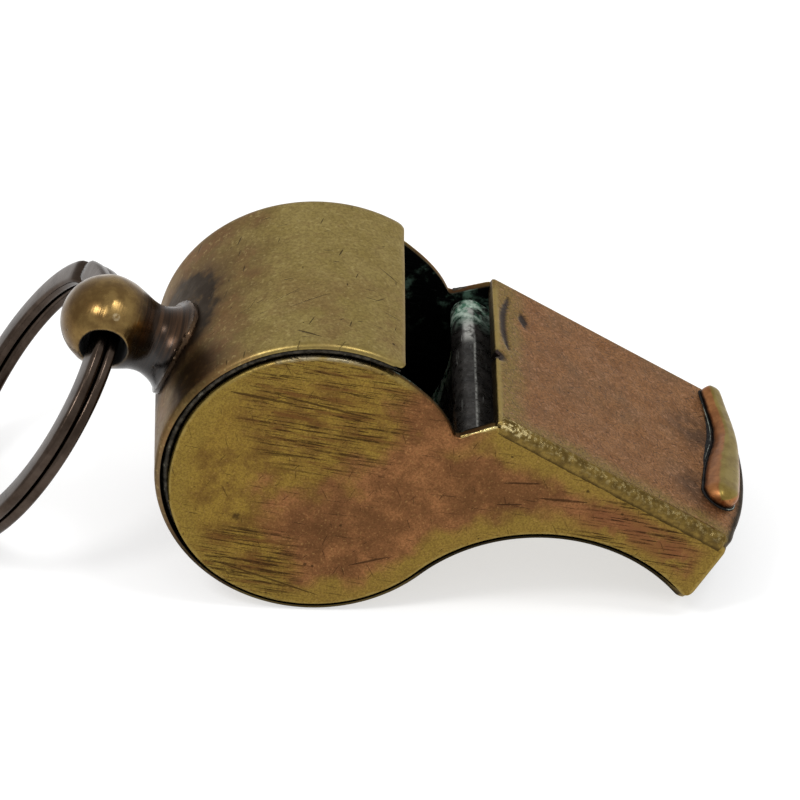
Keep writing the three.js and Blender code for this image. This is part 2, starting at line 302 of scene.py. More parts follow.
@dataclass
class Surface:
    """A mesh in millimetres, with the marks that finishes read at its points."""

    points: Array
    faces: list[Sequence[int]]
    marks: dict[Mark, Array] = field(default_factory=dict)

    @classmethod
    def tube(cls, rows: Array, marks: dict[Mark, Array]) -> "Surface":
        """Joins rows of points to a closed tube.

        Args:
            rows: Points, row by row. Each row is a closed loop whose second half mirrors its first.
            marks: The marks at the points.

        Returns:
            The tube, with both its ends closed.
        """
        count, columns = rows.shape[:2]
        low = np.arange((count - 1) * columns).reshape(count - 1, columns)
        side = np.roll(low, -1, axis=1)
        faces = np.stack([low, side, side + columns, low + columns], axis=-1).reshape(-1, 4).tolist()
        for first in (0, (count - 1) * columns):
            last = first + columns - 1
            faces += [(first + j, first + j + 1, last - 1 - j, last - j) for j in range(columns // 2 - 1)]
        return cls(rows.reshape(-1, 3), faces, marks)

    def moved(self, matrix: Matrix) -> "Surface":
        """The same surface after a rigid move."""
        m = np.array(matrix)
        return Surface(self.points @ m[:3, :3].T + m[:3, 3], self.faces, self.marks)


@dataclass
class Outline:
    """A closed outline in a plane, in millimetres, as dense points that run counter-clockwise."""

    points: Array

    @classmethod
    def through(cls, places: Sequence[Sequence[float]], spacing: float = 0.16) -> "Outline":
        """Fills the sides between corners with dense points.

        Args:
            places: Corners and curve points in order.
            spacing: Largest distance between the dense points.

        Returns:
            The outline.
        """
        corners = np.array(places, float)
        dense = []
        for start, end in zip(corners, np.roll(corners, -1, axis=0)):
            count = max(1, math.ceil(np.linalg.norm(end - start) / spacing))
            dense.append(start + (end - start) * (np.arange(count) / count)[:, None])
        return cls(np.concatenate(dense))

    def softened(self, corner: Sequence[float], reach: float) -> "Outline":
        """Rounds the corner nearest to a place.

        Args:
            corner: A place near the corner.
            reach: How far along the outline the rounding starts on both sides.

        Returns:
            The outline with that corner rounded.
        """
        nearest = int(np.argmin(np.linalg.norm(self.points - corner, axis=1)))
        around = np.roll(self.points, -nearest, axis=0)
        along = np.linalg.norm(around - around[0], axis=1)
        ahead = int(np.argmax(along > reach))
        behind = len(along) - 1 - int(np.argmax(along[::-1] > reach))
        start, end, tip = around[behind], around[ahead], around[0]
        t = np.linspace(0, 1, max(4, ahead + len(along) - behind))[1:-1, None]
        curve = (1 - t) ** 2 * start + 2 * t * (1 - t) * tip + t**2 * end
        return Outline(np.concatenate([around[ahead : behind + 1], curve]))

    def inset(self, distance: float) -> Array:
        """Moves the outline's points inwards.

        Args:
            distance: How far.

        Returns:
            The moved points.
        """
        way = np.roll(self.points, -1, axis=0) - np.roll(self.points, 1, axis=0)
        inward = np.stack([-way[:, 1], way[:, 0]], axis=1)
        return self.points + distance * inward / np.linalg.norm(inward, axis=1, keepdims=True)

    def distance(self, places: Array) -> tuple[Array, NDArray[np.int64]]:
        """Measures how far places are from the outline.

        Args:
            places: Points in the plane.

        Returns:
            The distance, and the number of the nearest outline point.
        """
        best = np.full(len(places), np.inf)
        index = np.zeros(len(places), np.int64)
        for i, (start, end) in enumerate(zip(self.points, np.roll(self.points, -1, axis=0))):
            way = end - start
            t = np.clip((places - start) @ way / (way @ way), 0, 1)
            gap = np.linalg.norm(places - start - t[:, None] * way, axis=1)
            closer = gap < best
            best[closer] = gap[closer]
            index[closer] = i
        return best, index

    def holds(self, places: Array) -> NDArray[np.bool_]:
        """Finds which places lie inside.

        Args:
            places: Points in the plane.

        Returns:
            True for each place inside.
        """
        inside = np.zeros(len(places), bool)
        for (x0, y0), (x1, y1) in zip(np.roll(self.points, 1, axis=0), self.points):
            crosses = (y0 > places[:, 1]) != (y1 > places[:, 1])
            if y0 != y1:
                inside ^= crosses & (places[:, 0] < x0 + (x1 - x0) * (places[:, 1] - y0) / (y1 - y0))
        return inside

    def triangles(self, extra: Array) -> tuple[Array, list[Sequence[int]]]:
        """Fills the outline with triangles.

        Args:
            extra: More points inside.

        Returns:
            All points, the outline's first, and the triangles.
        """
        count = len(self.points)
        places = [Vector(p) for p in np.concatenate([self.points, extra])]
        edges = [(i, (i + 1) % count) for i in range(count)]
        found = delaunay_2d_cdt(places, edges, [], 1, 1e-6)
        return np.array([tuple(v) for v in found[0]]), [tuple(f) for f in found[2]]

    def sheet(self, thickness: float, rounding: Array, step: float) -> Surface:
        """Makes a sheet of this outline with rounded front edges.

        Args:
            thickness: The sheet's thickness.
            rounding: Radius of the front edge at each outline point.
            step: Spacing of the points on the front face.

        Returns:
            A closed surface whose third coordinate is the depth behind the front face.
        """
        count = len(self.points)
        reach = float(rounding.max())
        low, high = self.points.min(0), self.points.max(0)
        across = np.arange(low[0], high[0], step)
        along = np.arange(low[1], high[1], step * math.sqrt(0.75))
        gx, gy = np.meshgrid(across, along)
        gx[1::2] += step / 2
        grid = np.stack([gx.ravel(), gy.ravel()], axis=1)
        grid = grid[self.holds(grid)]
        grid = grid[self.distance(grid)[0] > reach + step / 2]
        rings = []
        for share in RING_SHARES:
            ring = self.inset(reach * share)
            rings.append(ring[self.distance(ring)[0] > RING_SLACK * reach * share])
        front, faces = self.triangles(np.concatenate([*rings, grid]))
        rim, nearest = self.distance(front)
        rim[:count] = 0
        radius = rounding[nearest]
        fall = np.maximum(radius - rim, 0)
        depth = radius - np.sqrt(radius**2 - fall**2)
        walls = [np.minimum(rounding + 0.06, thickness - 0.05), np.full(count, thickness)]
        points = [np.column_stack([front, depth])]
        points += [np.column_stack([self.points, wall]) for wall in walls]
        first = len(front)
        loops = [np.arange(count), first + np.arange(count), first + count + np.arange(count)]
        for upper, lower in zip(loops, loops[1:]):
            faces += np.stack([upper, lower, np.roll(lower, -1), np.roll(upper, -1)], axis=1).tolist()
        _, back = self.triangles(np.zeros((0, 2)))
        faces += [[first + count + i for i in reversed(face)] for face in back]
        marks = {
            Mark.RIM: np.concatenate([rim, np.zeros(count), np.full(count, thickness)]),
            # Painted shade on the sheet's walls and back.
            Mark.SOOT: np.concatenate([np.zeros(first), np.full(count, 0.8), np.ones(count)]),
        }
        return Surface(np.concatenate(points), faces, marks)


def polygonise(solid: Callable[[Array], Array], low: Place, high: Place, step: float) -> Surface:
    """Finds the skin of a solid that is given as a field, which is negative inside it.

    Args:
        solid: Gives the field's value at points.
        low: Lowest corner of the space searched.
        high: Highest corner of it.
        step: Size of the search cells.

    Returns:
        A closed surface of four-sided faces.
    """
    axes = [np.arange(a, b + step, step) for a, b in zip(low, high)]
    grid = np.stack(np.meshgrid(*axes, indexing="ij"), axis=-1)
    inside = (solid(grid.reshape(-1, 3)) < 0).reshape(grid.shape[:3])
    shape = tuple(n - 1 for n in inside.shape)
    count = np.zeros(shape, int)
    for corner in np.ndindex(2, 2, 2):
        count += inside[tuple(slice(c, c + n) for c, n in zip(corner, shape))]
    crossing = (count > 0) & (count < 8)
    number = np.full(shape, -1)
    number[crossing] = np.arange(crossing.sum())
    points = grid[:-1, :-1, :-1][crossing] + step / 2
    for _ in range(8):
        steps = [(solid(points + d) - solid(points - d)) / (2 * PROBE) for d in np.eye(3) * PROBE]
        slope = np.stack(steps, axis=1)
        move = solid(points)[:, None] * slope / np.maximum((slope**2).sum(1), 1e-6)[:, None]
        points = points - np.clip(move, -step, step)
    faces: list[Sequence[int]] = []
    for axis in range(3):
        a, b = (axis + 1) % 3, (axis + 2) % 3
        low_side = [slice(1, n) for n in shape]
        low_side[axis] = slice(0, shape[axis])
        high_side = list(low_side)
        high_side[axis] = slice(1, shape[axis] + 1)
        change = np.argwhere(inside[tuple(low_side)] != inside[tuple(high_side)])
        change += [0 if i == axis else 1 for i in range(3)]
        quad = []
        for da, db in ((0, 0), (1, 0), (1, 1), (0, 1)):
            cell = change.copy()
            cell[:, a] -= da
            cell[:, b] -= db
            quad.append(number[tuple(cell.T)])
        faces += np.stack(quad, axis=1).tolist()
    return Surface(points, faces)


class Bench:
    """Adds nodes to one tree and joins them up."""

    def __init__(self, tree: Tree) -> None:
        """Takes the tree to work on."""
        self.tree = tree

    @classmethod
    def opened(
        cls, kind: str, name: str, inputs: dict[str, float | int | str], output: tuple[str, str]
    ) -> tuple["Bench", list[Socket]]:
        """Starts a node group.

        Args:
            kind: The type of the group's tree.
            name: The group's name.
            inputs: Named inputs, each with its usual value, or with its kind where it has no value.
            output: Name and kind of the output.

        Returns:
            The bench for the group, and its input sockets in order.
        """
        tree = bpy.data.node_groups.new(name, kind)
        for key, value in inputs.items():
            bare = isinstance(value, str)
            sort = value if bare else SOCKET_KINDS[type(value)]
            socket = tree.interface.new_socket(key, in_out="INPUT", socket_type=f"NodeSocket{sort}")
            if not bare:
                socket.default_value = value
        tree.interface.new_socket(output[0], in_out="OUTPUT", socket_type=f"NodeSocket{output[1]}")
        bench = cls(tree)
        return bench, [s for s in bench.add("NodeGroupInput").outputs if s.name]

    @staticmethod
    def socket(sockets: bpy.types.NodeInputs | bpy.types.NodeOutputs, key: str) -> Socket:
        """Finds a socket by its identifier, or else by its name."""
        found = [s for s in sockets if s.identifier == key]
        return found[0] if found else next(s for s in sockets if s.name == key and s.enabled)

    def add(self, kind: str, feeds: Feeds | None = None, **settings: object) -> Node:
        """Adds a node.

        Args:
            kind: The node's type.
            feeds: What goes into its sockets: a value, or another node's socket.
            **settings: The node's own properties.

        Returns:
            The node.
        """
        node = self.tree.nodes.new(kind)
        for setting, value in settings.items():
            setattr(node, setting, value)
        for key, feed in (feeds or {}).items():
            self.feed(self.socket(node.inputs, key), feed)
        return node

    def out(self, kind: str, feeds: Feeds | None = None, **settings: object) -> Socket:
        """Adds a node and gives its first output."""
        return self.add(kind, feeds, **settings).outputs[0]

    def feed(self, socket: Socket, feed: Feed) -> None:
        """Links a socket to another, or sets its value.

        Args:
            socket: The socket.
            feed: What goes into it.
        """
        if isinstance(feed, Socket):
            self.tree.links.new(feed, socket)
        else:
            socket.default_value = feed

    def math(self, operation: str, a: Feed, b: Feed = 0.0, clamp: bool = False) -> Socket:
        """One step of arithmetic."""
        feeds = {"Value": a, "Value_001": b}
        return self.out("ShaderNodeMath", feeds, operation=operation, use_clamp=clamp)

    def times(self, a: Feed, b: Feed) -> Socket:
        """The product of two values."""
        return self.math("MULTIPLY", a, b)

    def minus(self, a: Feed, b: Feed) -> Socket:
        """The difference of two values."""
        return self.math("SUBTRACT", a, b)

    def over(self, a: Feed, b: Feed) -> Socket:
        """The quotient of two values."""
        return self.math("DIVIDE", a, b)

    def size(self, value: Feed) -> Socket:
        """A value without its sign."""
        return self.math("ABSOLUTE", value)

    def plus(self, base: Feed, extra: Feed, share: Feed) -> Socket:
        """A value with a share of another added."""
        feeds = {"Value": extra, "Value_001": share, "Value_002": base}
        return self.out("ShaderNodeMath", feeds, operation="MULTIPLY_ADD")

    def both(self, *masks: Feed) -> Socket:
        """The product of several masks."""
        return reduce(self.times, masks)

    def most(self, *masks: Feed) -> Socket:
        """The largest of several masks."""
        return reduce(partial(self.math, "MAXIMUM"), masks)

    def ease(self, value: Feed, start: Feed, end: Feed, low: Feed = 0.0, high: Feed = 1.0) -> Socket:
        """Eases from low at start to high at end."""
        feeds = {"Value": value, "From Min": start, "From Max": end, "To Min": low, "To Max": high}
        return self.out("ShaderNodeMapRange", feeds, interpolation_type="SMOOTHSTEP")

    def mix(self, share: Feed, a: Feed, b: Feed) -> Socket:
        """Goes from colour a to colour b by a share."""
        feeds = {"Factor_Float": share, "A_Color": a, "B_Color": b}
        node = self.add("ShaderNodeMix", feeds, data_type="RGBA", clamp_factor=True)
        return self.socket(node.outputs, "Result_Color")

    def noise(self, vector: Feed, scale: Feed, detail: float = 4.0, rough: float = 0.55) -> Socket:
        """Cloudy noise between 0 and 1."""
        feeds = {"Vector": vector, "Scale": scale, "Detail": detail, "Roughness": rough}
        return self.out("ShaderNodeTexNoise", feeds)

    def split(self, vector: Feed) -> tuple[Socket, ...]:
        """The three parts of a vector."""
        return tuple(self.add("ShaderNodeSeparateXYZ", {"Vector": vector}).outputs)

    def join(self, x: Feed, y: Feed, z: Feed = 0.0) -> Socket:
        """A vector from three parts."""
        return self.out("ShaderNodeCombineXYZ", {"X": x, "Y": y, "Z": z})

    def vector(self, operation: str, a: Feed, b: Feed) -> Socket:
        """One step of arithmetic with vectors."""
        return self.out("ShaderNodeVectorMath", {"Vector": a, "Vector_001": b}, operation=operation)

    def measure(self, operation: str, a: Feed, b: Feed) -> Socket:
        """A number from two vectors."""
        node = self.add("ShaderNodeVectorMath", {"Vector": a, "Vector_001": b}, operation=operation)
        return self.socket(node.outputs, "Value")

    def turned(self, vector: Feed, angle: Feed, centre: Feed = (0.0, 0.0, 0.0)) -> Socket:
        """A vector turned about the Z axis."""
        feeds = {"Vector": vector, "Center": centre, "Angle": angle}
        return self.out("ShaderNodeVectorRotate", feeds, rotation_type="Z_AXIS")

    def spot(self, vector: Feed, centre: Place, inner: float, outer: float) -> Socket:
        """A soft round area: 1 within inner of its centre and 0 beyond outer."""
        return self.ease(self.measure("DISTANCE", vector, centre), outer, inner)

    def mark(self, mark: Mark) -> Socket:
        """A value stored at the mesh's points."""
        return self.socket(self.add("ShaderNodeAttribute", attribute_name=mark.value).outputs, "Fac")


class Scratches(NamedTuple):
    """A field of short strokes in one direction: its angle in degrees, and its sizes in millimetres."""

    angle: float
    length: float
    pitch: float
    width: float
    share: float
    seed: float


class Cut(NamedTuple):
    """One long scratch, in millimetres."""

    start: Point
    end: Point
    width: float


class Pits(NamedTuple):
    """A field of pits, with sizes in millimetres."""

    cell: float
    radius: float
    share: float
    seed: float


class Effects:
    """Wear that several finishes share, each as one shader node group with a mask as its output."""

    tip = 0.02

    def __init__(self) -> None:
        """Builds the groups."""
        self.mottle = self._mottle()
        self.scratches = self._scratches()
        self.pits = self._pits()
        self.rim_wear = self._rim_wear()
        self.stroke = self._stroke()

    @staticmethod
    def _open(name: str, inputs: dict[str, float | str]) -> tuple[Bench, list[Socket]]:
        """Starts a group that gives a mask."""
        return Bench.opened("ShaderNodeTree", name, inputs, ("Mask", "Float"))

    @staticmethod
    def _close(bench: Bench, mask: Socket) -> Tree:
        """Sends the mask out of the group."""
        bench.add("NodeGroupOutput", {"Mask": mask})
        return bench.tree

    def _mottle(self) -> Tree:
        """Makes cloudy patches of a given size.

        Returns:
            The group.
        """
        inputs = {"Vector": "Vector", "Size": 2.0, "Low": 0.4, "High": 0.6}
        bench, (place, size, low, high) = self._open("Mottle", inputs)
        cloud = bench.noise(place, bench.over(1.0, size), 7.0, 0.62)
        return self._close(bench, bench.ease(cloud, low, high))

    def _scratches(self) -> Tree:
        """Makes tapered strokes along one direction, scattered over rows of cells.

        Returns:
            The group.
        """
        inputs = {"Vector": "Vector", "Angle": 0.0, "Length": 3.0, "Pitch": 0.4}
        inputs |= {"Width": 0.05, "Share": 0.5, "Seed": 0.0}
        bench, (spot, angle, length, pitch, girth, share, seed) = self._open("Scratch Field", inputs)
        along, across, _ = bench.split(bench.turned(spot, angle))
        lane = bench.over(across, pitch)
        row = bench.math("FLOOR", lane)
        shift = bench.out("ShaderNodeTexWhiteNoise", {"Vector": bench.join(row, seed)}, noise_dimensions="2D")
        run = bench.plus(bench.over(along, length), shift, 9.0)
        cell = bench.math("FLOOR", run)
        dice = bench.add("ShaderNodeTexWhiteNoise", {"Vector": bench.join(cell, row, seed)})
        chance, place, stretch = bench.split(bench.socket(dice.outputs, "Color"))
        from_middle = bench.minus(bench.minus(run, cell), 0.5)
        half = bench.plus(0.1, stretch, 0.38)
        outward = bench.over(bench.size(from_middle), half)
        taper = bench.math("SUBTRACT", 1.0, bench.times(outward, outward), clamp=True)
        middle = bench.plus(0.5, bench.minus(place, 0.5), 0.5)
        slope = bench.times(bench.minus(stretch, 0.5), 0.7)
        middle = bench.plus(middle, slope, from_middle)
        off = bench.times(bench.size(bench.minus(bench.minus(lane, row), middle)), pitch)
        width = bench.times(girth, bench.times(taper, bench.math("ADD", 0.5, place)))
        stroke = bench.ease(off, width, bench.times(width, 0.25))
        cut = bench.times(stroke, bench.math("GREATER_THAN", taper, self.tip))
        return self._close(bench, bench.times(cut, bench.math("LESS_THAN", chance, share)))

    def _stroke(self) -> Tree:
        """Makes one long scratch, thin at its ends.

        Returns:
            The group.
        """
        inputs = {"Vector": "Vector", "Middle": "Vector", "Angle": 0.0, "Length": 3.0, "Width": 0.1}
        bench, (spot, middle, angle, length, girth) = self._open("Single Scratch", inputs)
        offset = bench.vector("SUBTRACT", bench.turned(spot, angle, middle), middle)
        along, across, _ = bench.split(offset)
        outward = bench.over(bench.times(along, 2.0), length)
        taper = bench.math("SUBTRACT", 1.0, bench.times(outward, outward), clamp=True)
        wobble = bench.minus(bench.noise(spot, 1.5, 3.0), 0.5)
        off = bench.plus(across, wobble, girth)
        width = bench.times(girth, bench.math("SQRT", taper))
        cut = bench.ease(bench.size(off), width, bench.times(width, 0.4))
        return self._close(bench, bench.times(cut, bench.math("GREATER_THAN", taper, self.tip)))

    def _pits(self) -> Tree:
        """Makes small irregular pits, one at most in each cell.

        Returns:
            The group.
        """
        inputs = {"Vector": "Vector", "Cell": 1.5, "Radius": 0.12, "Share": 0.4, "Seed": 0.0}
        bench, (place, cell, reach, share, seed) = self._open("Pit Field", inputs)
        wobble = bench.noise(place, 5.0, 2.0)
        feeds = {"Vector": bench.vector("ADD", place, seed), "Scale": bench.over(1.0, cell)}
        cells = bench.add("ShaderNodeTexVoronoi", feeds)
        chance, size, _ = bench.split(bench.socket(cells.outputs, "Color"))
        away = bench.times(bench.socket(cells.outputs, "Distance"), cell)
        away = bench.times(away, bench.math("ADD", 0.5, wobble))
        radius = bench.times(reach, bench.math("ADD", 0.4, size))
        dot = bench.ease(away, radius, bench.times(radius, 0.5))
        return self._close(bench, bench.times(dot, bench.math("LESS_THAN", chance, share)))

    def _rim_wear(self) -> Tree:
        """Makes a ragged band along a sheet's edges.

        Returns:
            The group.
        """
        inputs = {"Rim": 1.0, "Vector": "Vector", "Reach": 0.5, "Ragged": 0.5, "Grain": 0.8}
        bench, (rim, place, reach, ragged, grain) = self._open("Rim Wear", inputs)
        cloud = bench.noise(place, bench.over(1.0, grain), 5.0)
        push = bench.times(bench.minus(cloud, 0.5), bench.times(ragged, 2.0))
        edge = bench.math("ADD", rim, push)
        return self._close(bench, bench.ease(edge, reach, bench.times(reach, 0.35)))


class Finish:
    """Base of the finishes: a Principled material whose patterns lie in the playing frame, in millimetres.

    Attributes:
        name: The material's name.
        metal: How metallic it is, where that is the same all over.
        glance: Colour of its reflections at a low angle.
        gloss: Strength of the reflections of what isn't metal on it.
    """

    name = "finish"
    metal = 1.0
    glance: Colour = WHITE
    gloss = 0.5

    def __init__(self, effects: Effects, stance: Stance) -> None:
        """Builds the material.

        Args:
            effects: The shared wear.
            stance: Where the whistle stands.
        """
        self.effects = effects
        self.stance = stance
        self.material = bpy.data.materials.new(self.name)
        self.material.use_nodes = True
        self.bench = Bench(self.material.node_tree)
        self.shader = self.material.node_tree.nodes["Principled BSDF"]
        self.place = self.coordinates(stance.tilt)
        self.colour: Feed = WHITE
        self.set("Metallic", self.metal)
        self.set("Specular Tint", self.glance)
        self.set("Specular IOR Level", self.gloss)
        self.dress()
        self.set("Base Color", self.colour)

    def coordinates(self, turn: float) -> Socket:
        """Gives places in millimetres about the barrel's axis.

        Args:
            turn: Angle by which they are turned about it.

        Returns:
            The places.
        """
        feeds = {
            "Vector": self.bench.socket(self.bench.add("ShaderNodeTexCoord").outputs, "Object"),
            "Location": tuple(self.stance.axis),
            "Rotation": (0.0, turn, 0.0),
            "Scale": (MM, MM, MM),
        }
        return self.bench.out("ShaderNodeMapping", feeds, vector_type="TEXTURE")

    def dress(self) -> None:
        """Lays on its patterns."""
        raise NotImplementedError

    def set(self, key: str, feed: Feed) -> None:
        """Feeds one of the shader's sockets."""
        self.bench.feed(self.bench.socket(self.shader.inputs, key), feed)

    def tint(self, colour: Feed, mask: Feed, share: float, paint: Paint) -> Socket:
        """Lays a share of a paint over a colour where a mask is."""
        return self.bench.mix(self.bench.times(mask, share), colour, srgb(paint))

    def coat(self, mask: Feed, share: float, paint: Paint) -> None:
        """Lays a share of a paint over the finish where a mask is."""
        self.colour = self.tint(self.colour, mask, share, paint)

    def cover(self, mask: Feed, paint: Paint) -> None:
        """Lays a paint over the finish where a mask is."""
        self.colour = self.bench.mix(mask, self.colour, srgb(paint))

    def clouded(self, size: float, low: float, high: float, dark: Paint, light: Paint) -> Socket:
        """Two paints in cloudy patches."""
        return self.bench.mix(self.mottled(size, low, high), srgb(dark), srgb(light))

    def bump(self, height: Feed, depth: float) -> None:
        """Raises the surface by a height mask, to a depth in millimetres."""
        feeds = {"Height": height, "Distance": depth * MM, "Strength": 1.0}
        self.set("Normal", self.bench.out("ShaderNodeBump", feeds))

    def worn_bump(self, scale: float, share: float, flaws: Feed) -> None:
        """Gives old sheet its shallow swells, with its flaws sunk in."""
        swell = self.bench.times(self.bench.noise(self.place, scale, 6.0), share)
        self.bump(self.bench.minus(swell, flaws), 0.03)

    def dulled(self, least: float, size: float, extra: float) -> Socket:
        """Roughness of old sheet, with cloudy patches that are rougher."""
        return self.bench.plus(least, self.mottled(size, 0.3, 0.7), extra)

    def sheen(self, size: float, least: float, most: float, low: float = 0.3, high: float = 0.7) -> Socket:
        """Roughness that changes in cloudy patches."""
        return self.bench.ease(self.mottled(size, low, high), 0.0, 1.0, least, most)

    def mottled(self, size: float, low: float, high: float, place: Feed | None = None) -> Socket:
        """Cloudy patches."""
        feeds = {"Vector": place or self.place, "Size": size, "Low": low, "High": high}
        return self.bench.out("ShaderNodeGroup", feeds, node_tree=self.effects.mottle)

    def smeared(self, place: Feed, angle: float, scale: Place, low: float, high: float) -> Socket:
        """Clouds drawn out along one direction by the scales along and across it."""
        turned = self.bench.turned(place, math.radians(angle))
        return self.mottled(1.0, low, high, self.bench.vector("MULTIPLY", turned, scale))

    def scratched(self, place: Feed, *fields: Scratches) -> Socket:
        """Fields of strokes."""
        turned = (strokes._replace(angle=math.radians(strokes.angle)) for strokes in fields)
        return self.strewn(self.effects.scratches, place, turned)

    def cut(self, place: Feed, *cuts: Cut) -> Socket:
        """Makes single long scratches.

        Args:
            place: Where the pattern is read.
            *cuts: The scratches.

        Returns:
            The scratches' mask.
        """
        masks = []
        for start, end, width in cuts:
            run = Vector(end) - Vector(start)
            middle = (Vector(start) + Vector(end)) / 2
            feeds = {
                "Vector": place, "Middle": (middle.x, middle.y, 0.0), "Angle": -math.atan2(run.y, run.x),
                "Length": run.length, "Width": width,
            }
            masks.append(self.bench.out("ShaderNodeGroup", feeds, node_tree=self.effects.stroke))
        return self.bench.most(*masks)

    def pitted(self, *fields: Pits) -> Socket:
        """Fields of pits."""
        return self.strewn(self.effects.pits, self.place, fields)

    def strewn(self, tree: Tree, place: Feed, fields: Iterable[Scratches | Pits]) -> Socket:
        """Strews several fields of one effect.

        Args:
            tree: The effect.
            place: Where the pattern is read.
            fields: The fields, whose values have the names of the effect's inputs.

        Returns:
            The largest of their masks.
        """
        masks = []
        for values in fields:
            feeds = {"Vector": place} | {name.title(): value for name, value in values._asdict().items()}
            masks.append(self.bench.out("ShaderNodeGroup", feeds, node_tree=tree))
        return self.bench.most(*masks)

    def rim_band(self, reach: float, ragged: float, grain: float) -> Socket:
        """A ragged band along the edges."""
        rim = self.bench.mark(Mark.RIM)
        feeds = {"Rim": rim, "Vector": self.place, "Reach": reach, "Ragged": ragged, "Grain": grain}
        return self.bench.out("ShaderNodeGroup", feeds, node_tree=self.effects.rim_wear)


class PlateBrass(Finish):
    """Side plates: yellow where hands and cloth reach, copper-brown between, filed, with a painted highlight
    on the upper rim, painted shade on their edge walls, and black painted shade inside.
    """

    name = Slot.PLATE.value
    glance = (0.8, 0.7, 0.56, 1.0)
    far_shift = 31.0
    filing = -21.0
    file_marks = (
        Cut((-4.1, 0.0), (-0.7, 1.5), 0.1),
        Cut((5.8, -4.9), (7.8, -2.8), 0.1),
        Cut((-8.7, 3.0), (-4.2, 4.5), 0.14),
        Cut((-5.7, 4.5), (0.9, 6.3), 0.12),
        Cut((13.9, 6.8), (16.9, 8.25), 0.13),
        Cut((11.1, 6.55), (13.3, 7.85), 0.1),
        Cut((11.7, 4.8), (13.2, 5.75), 0.08),
        Cut((-2.5, -9.5), (5.4, -8.1), 0.1),
    )

    def dress(self) -> None:
        """Lays on its patterns."""
        b = self.bench
        x, y, z = b.split(self.place)
        flat = b.join(x, z)
        far = b.math("GREATER_THAN", y, 0.0)
        worn = b.join(b.plus(x, far, self.far_shift), z)
        clouds = b.minus(b.noise(self.place, 0.4, 7.0, 0.62), 0.5)
        outside = b.plus(b.measure("DISTANCE", flat, (-4.6, 4.2, 0.0)), clouds, 8.0)
        above = b.plus(b.measure("DOT_PRODUCT", flat, (0.65, 0.76, 0.0)), clouds, 5.0)
        copper = b.both(b.ease(outside, 5.8, 8.8), b.ease(above, -5.4, -2.6))
        yellow = self.clouded(1.4, 0.38, 0.62, (116, 90, 42), (140, 114, 50))
        red = self.clouded(1.6, 0.36, 0.66, (112, 75, 47), (149, 102, 65))
        self.colour = b.mix(copper, yellow, red)
        shade = b.both(b.spot(flat, (3.4, -2.6, 0.0), 1.0, 5.5), self.mottled(2.6, 0.35, 0.6))
        arm_shade = b.both(b.spot(flat, (11.8, 5.8, 0.0), 2.2, 5.0), self.mottled(2.2, 0.3, 0.55))
        self.coat(b.most(shade, arm_shade), 0.68, (90, 60, 37))
        window = b.minus(1.0, b.spot(flat, (4.8, 8.7, 0.0), 2.0, 4.4))
        self.coat(b.both(self.rim_band(2.5, 1.9, 2.2), window), 0.9, (138, 115, 52))
        self.coat(self.mottled(0.12, 0.36, 0.68), 0.54, (76, 52, 29))
        self.coat(self.mottled(0.2, 0.55, 0.7), 0.36, (176, 140, 86))
        upper = b.spot(flat, (-2.2, 5.4, 0.0), 4.2, 7.4)
        low_left = b.spot(flat, (0.0, -8.4, 0.0), 2.6, 4.8)
        arm = b.spot(flat, (21.6, 7.2, 0.0), 3.0, 5.8)
        filed = b.both(b.most(upper, low_left, arm), self.mottled(1.8, 0.2, 0.46))
        browned = b.both(arm, b.ease(b.mark(Mark.RIM), 0.3, 1.4), self.mottled(1.7, 0.34, 0.52))
        self.coat(browned, 0.75, (116, 74, 48))
        smears = self.smeared(worn, self.filing, (1 / 4.5, 1 / 0.7, 1.0), 0.46, 0.64)
        rust = b.both(smears, b.most(upper, low_left))
        self.coat(rust, 0.7, (92, 58, 33))
        streaks = b.both(self.smeared(worn, self.filing, (1 / 3.0, 1 / 0.12, 1.0), 0.55, 0.67), filed)
        self.coat(streaks, 0.8, (62, 39, 23))
        strokes = self.scratched(
            worn,
            Scratches(self.filing + 1, 9.0, 0.5, 0.1, 0.7, 3.0),
            Scratches(self.filing - 1, 3.6, 0.3, 0.065, 0.65, 8.0),
        )
        single = self.cut(worn, *self.file_marks)
        thin = self.scratched(
            worn,
            Scratches(self.filing, 2.6, 0.6, 0.035, 0.35, 21.0),
            Scratches(48.0, 1.3, 1.0, 0.04, 0.2, 31.0),
            Scratches(101.0, 1.0, 1.1, 0.04, 0.18, 41.0),
        )
        filing = b.both(strokes, filed, self.mottled(0.7, 0.3, 0.55))
        cuts = b.most(filing, b.times(thin, 0.6), b.times(single, 0.85))
        pits = self.pitted(Pits(1.7, 0.13, 0.45, 5.0), Pits(4.2, 0.32, 0.4, 17.0), Pits(2.6, 0.2, 0.4, 23.0))
        self.coat(cuts, 0.85, (44, 28, 17))
        self.coat(pits, 0.75, (52, 38, 22))
        self.coat(b.both(self.rim_band(0.28, 0.25, 0.7), window), 0.5, (158, 138, 80))
        # Painted highlight: pale grey along the plate's upper rim.
        rim_crest_highlight = b.both(b.ease(b.mark(Mark.RIM), 0.3, 0.06), b.ease(z, 6.0, 7.4), b.ease(x, -1.0, -3.5))
        self.coat(b.both(rim_crest_highlight, self.mottled(0.9, 0.3, 0.55)), 0.7, (160, 152, 130))
        # Painted shade on the plate's edge walls and back.
        self.coat(b.mark(Mark.SOOT), 0.85, (44, 31, 22))
        # Painted shade: the plates' inner faces are black inside the whistle, with pale flecks and green
        # crust.
        inside = b.ease(b.size(y), 8.62, 8.46)
        crust = b.both(inside, self.mottled(1.5, 0.5, 0.66), b.ease(z, 3.0, 7.5))
        black = self.tint(srgb((16, 17, 17)), self.mottled(0.35, 0.6, 0.72), 0.4, (92, 96, 92))
        black = self.tint(black, crust, 0.8, (74, 104, 90))
        self.colour = b.mix(inside, self.colour, black)
        self.set("Metallic", b.minus(1.0, crust))
        self.set("Roughness", b.plus(self.dulled(0.36, 1.2, 0.14), inside, 0.1))
        self.worn_bump(1.6, 0.35, b.most(cuts, streaks, pits))


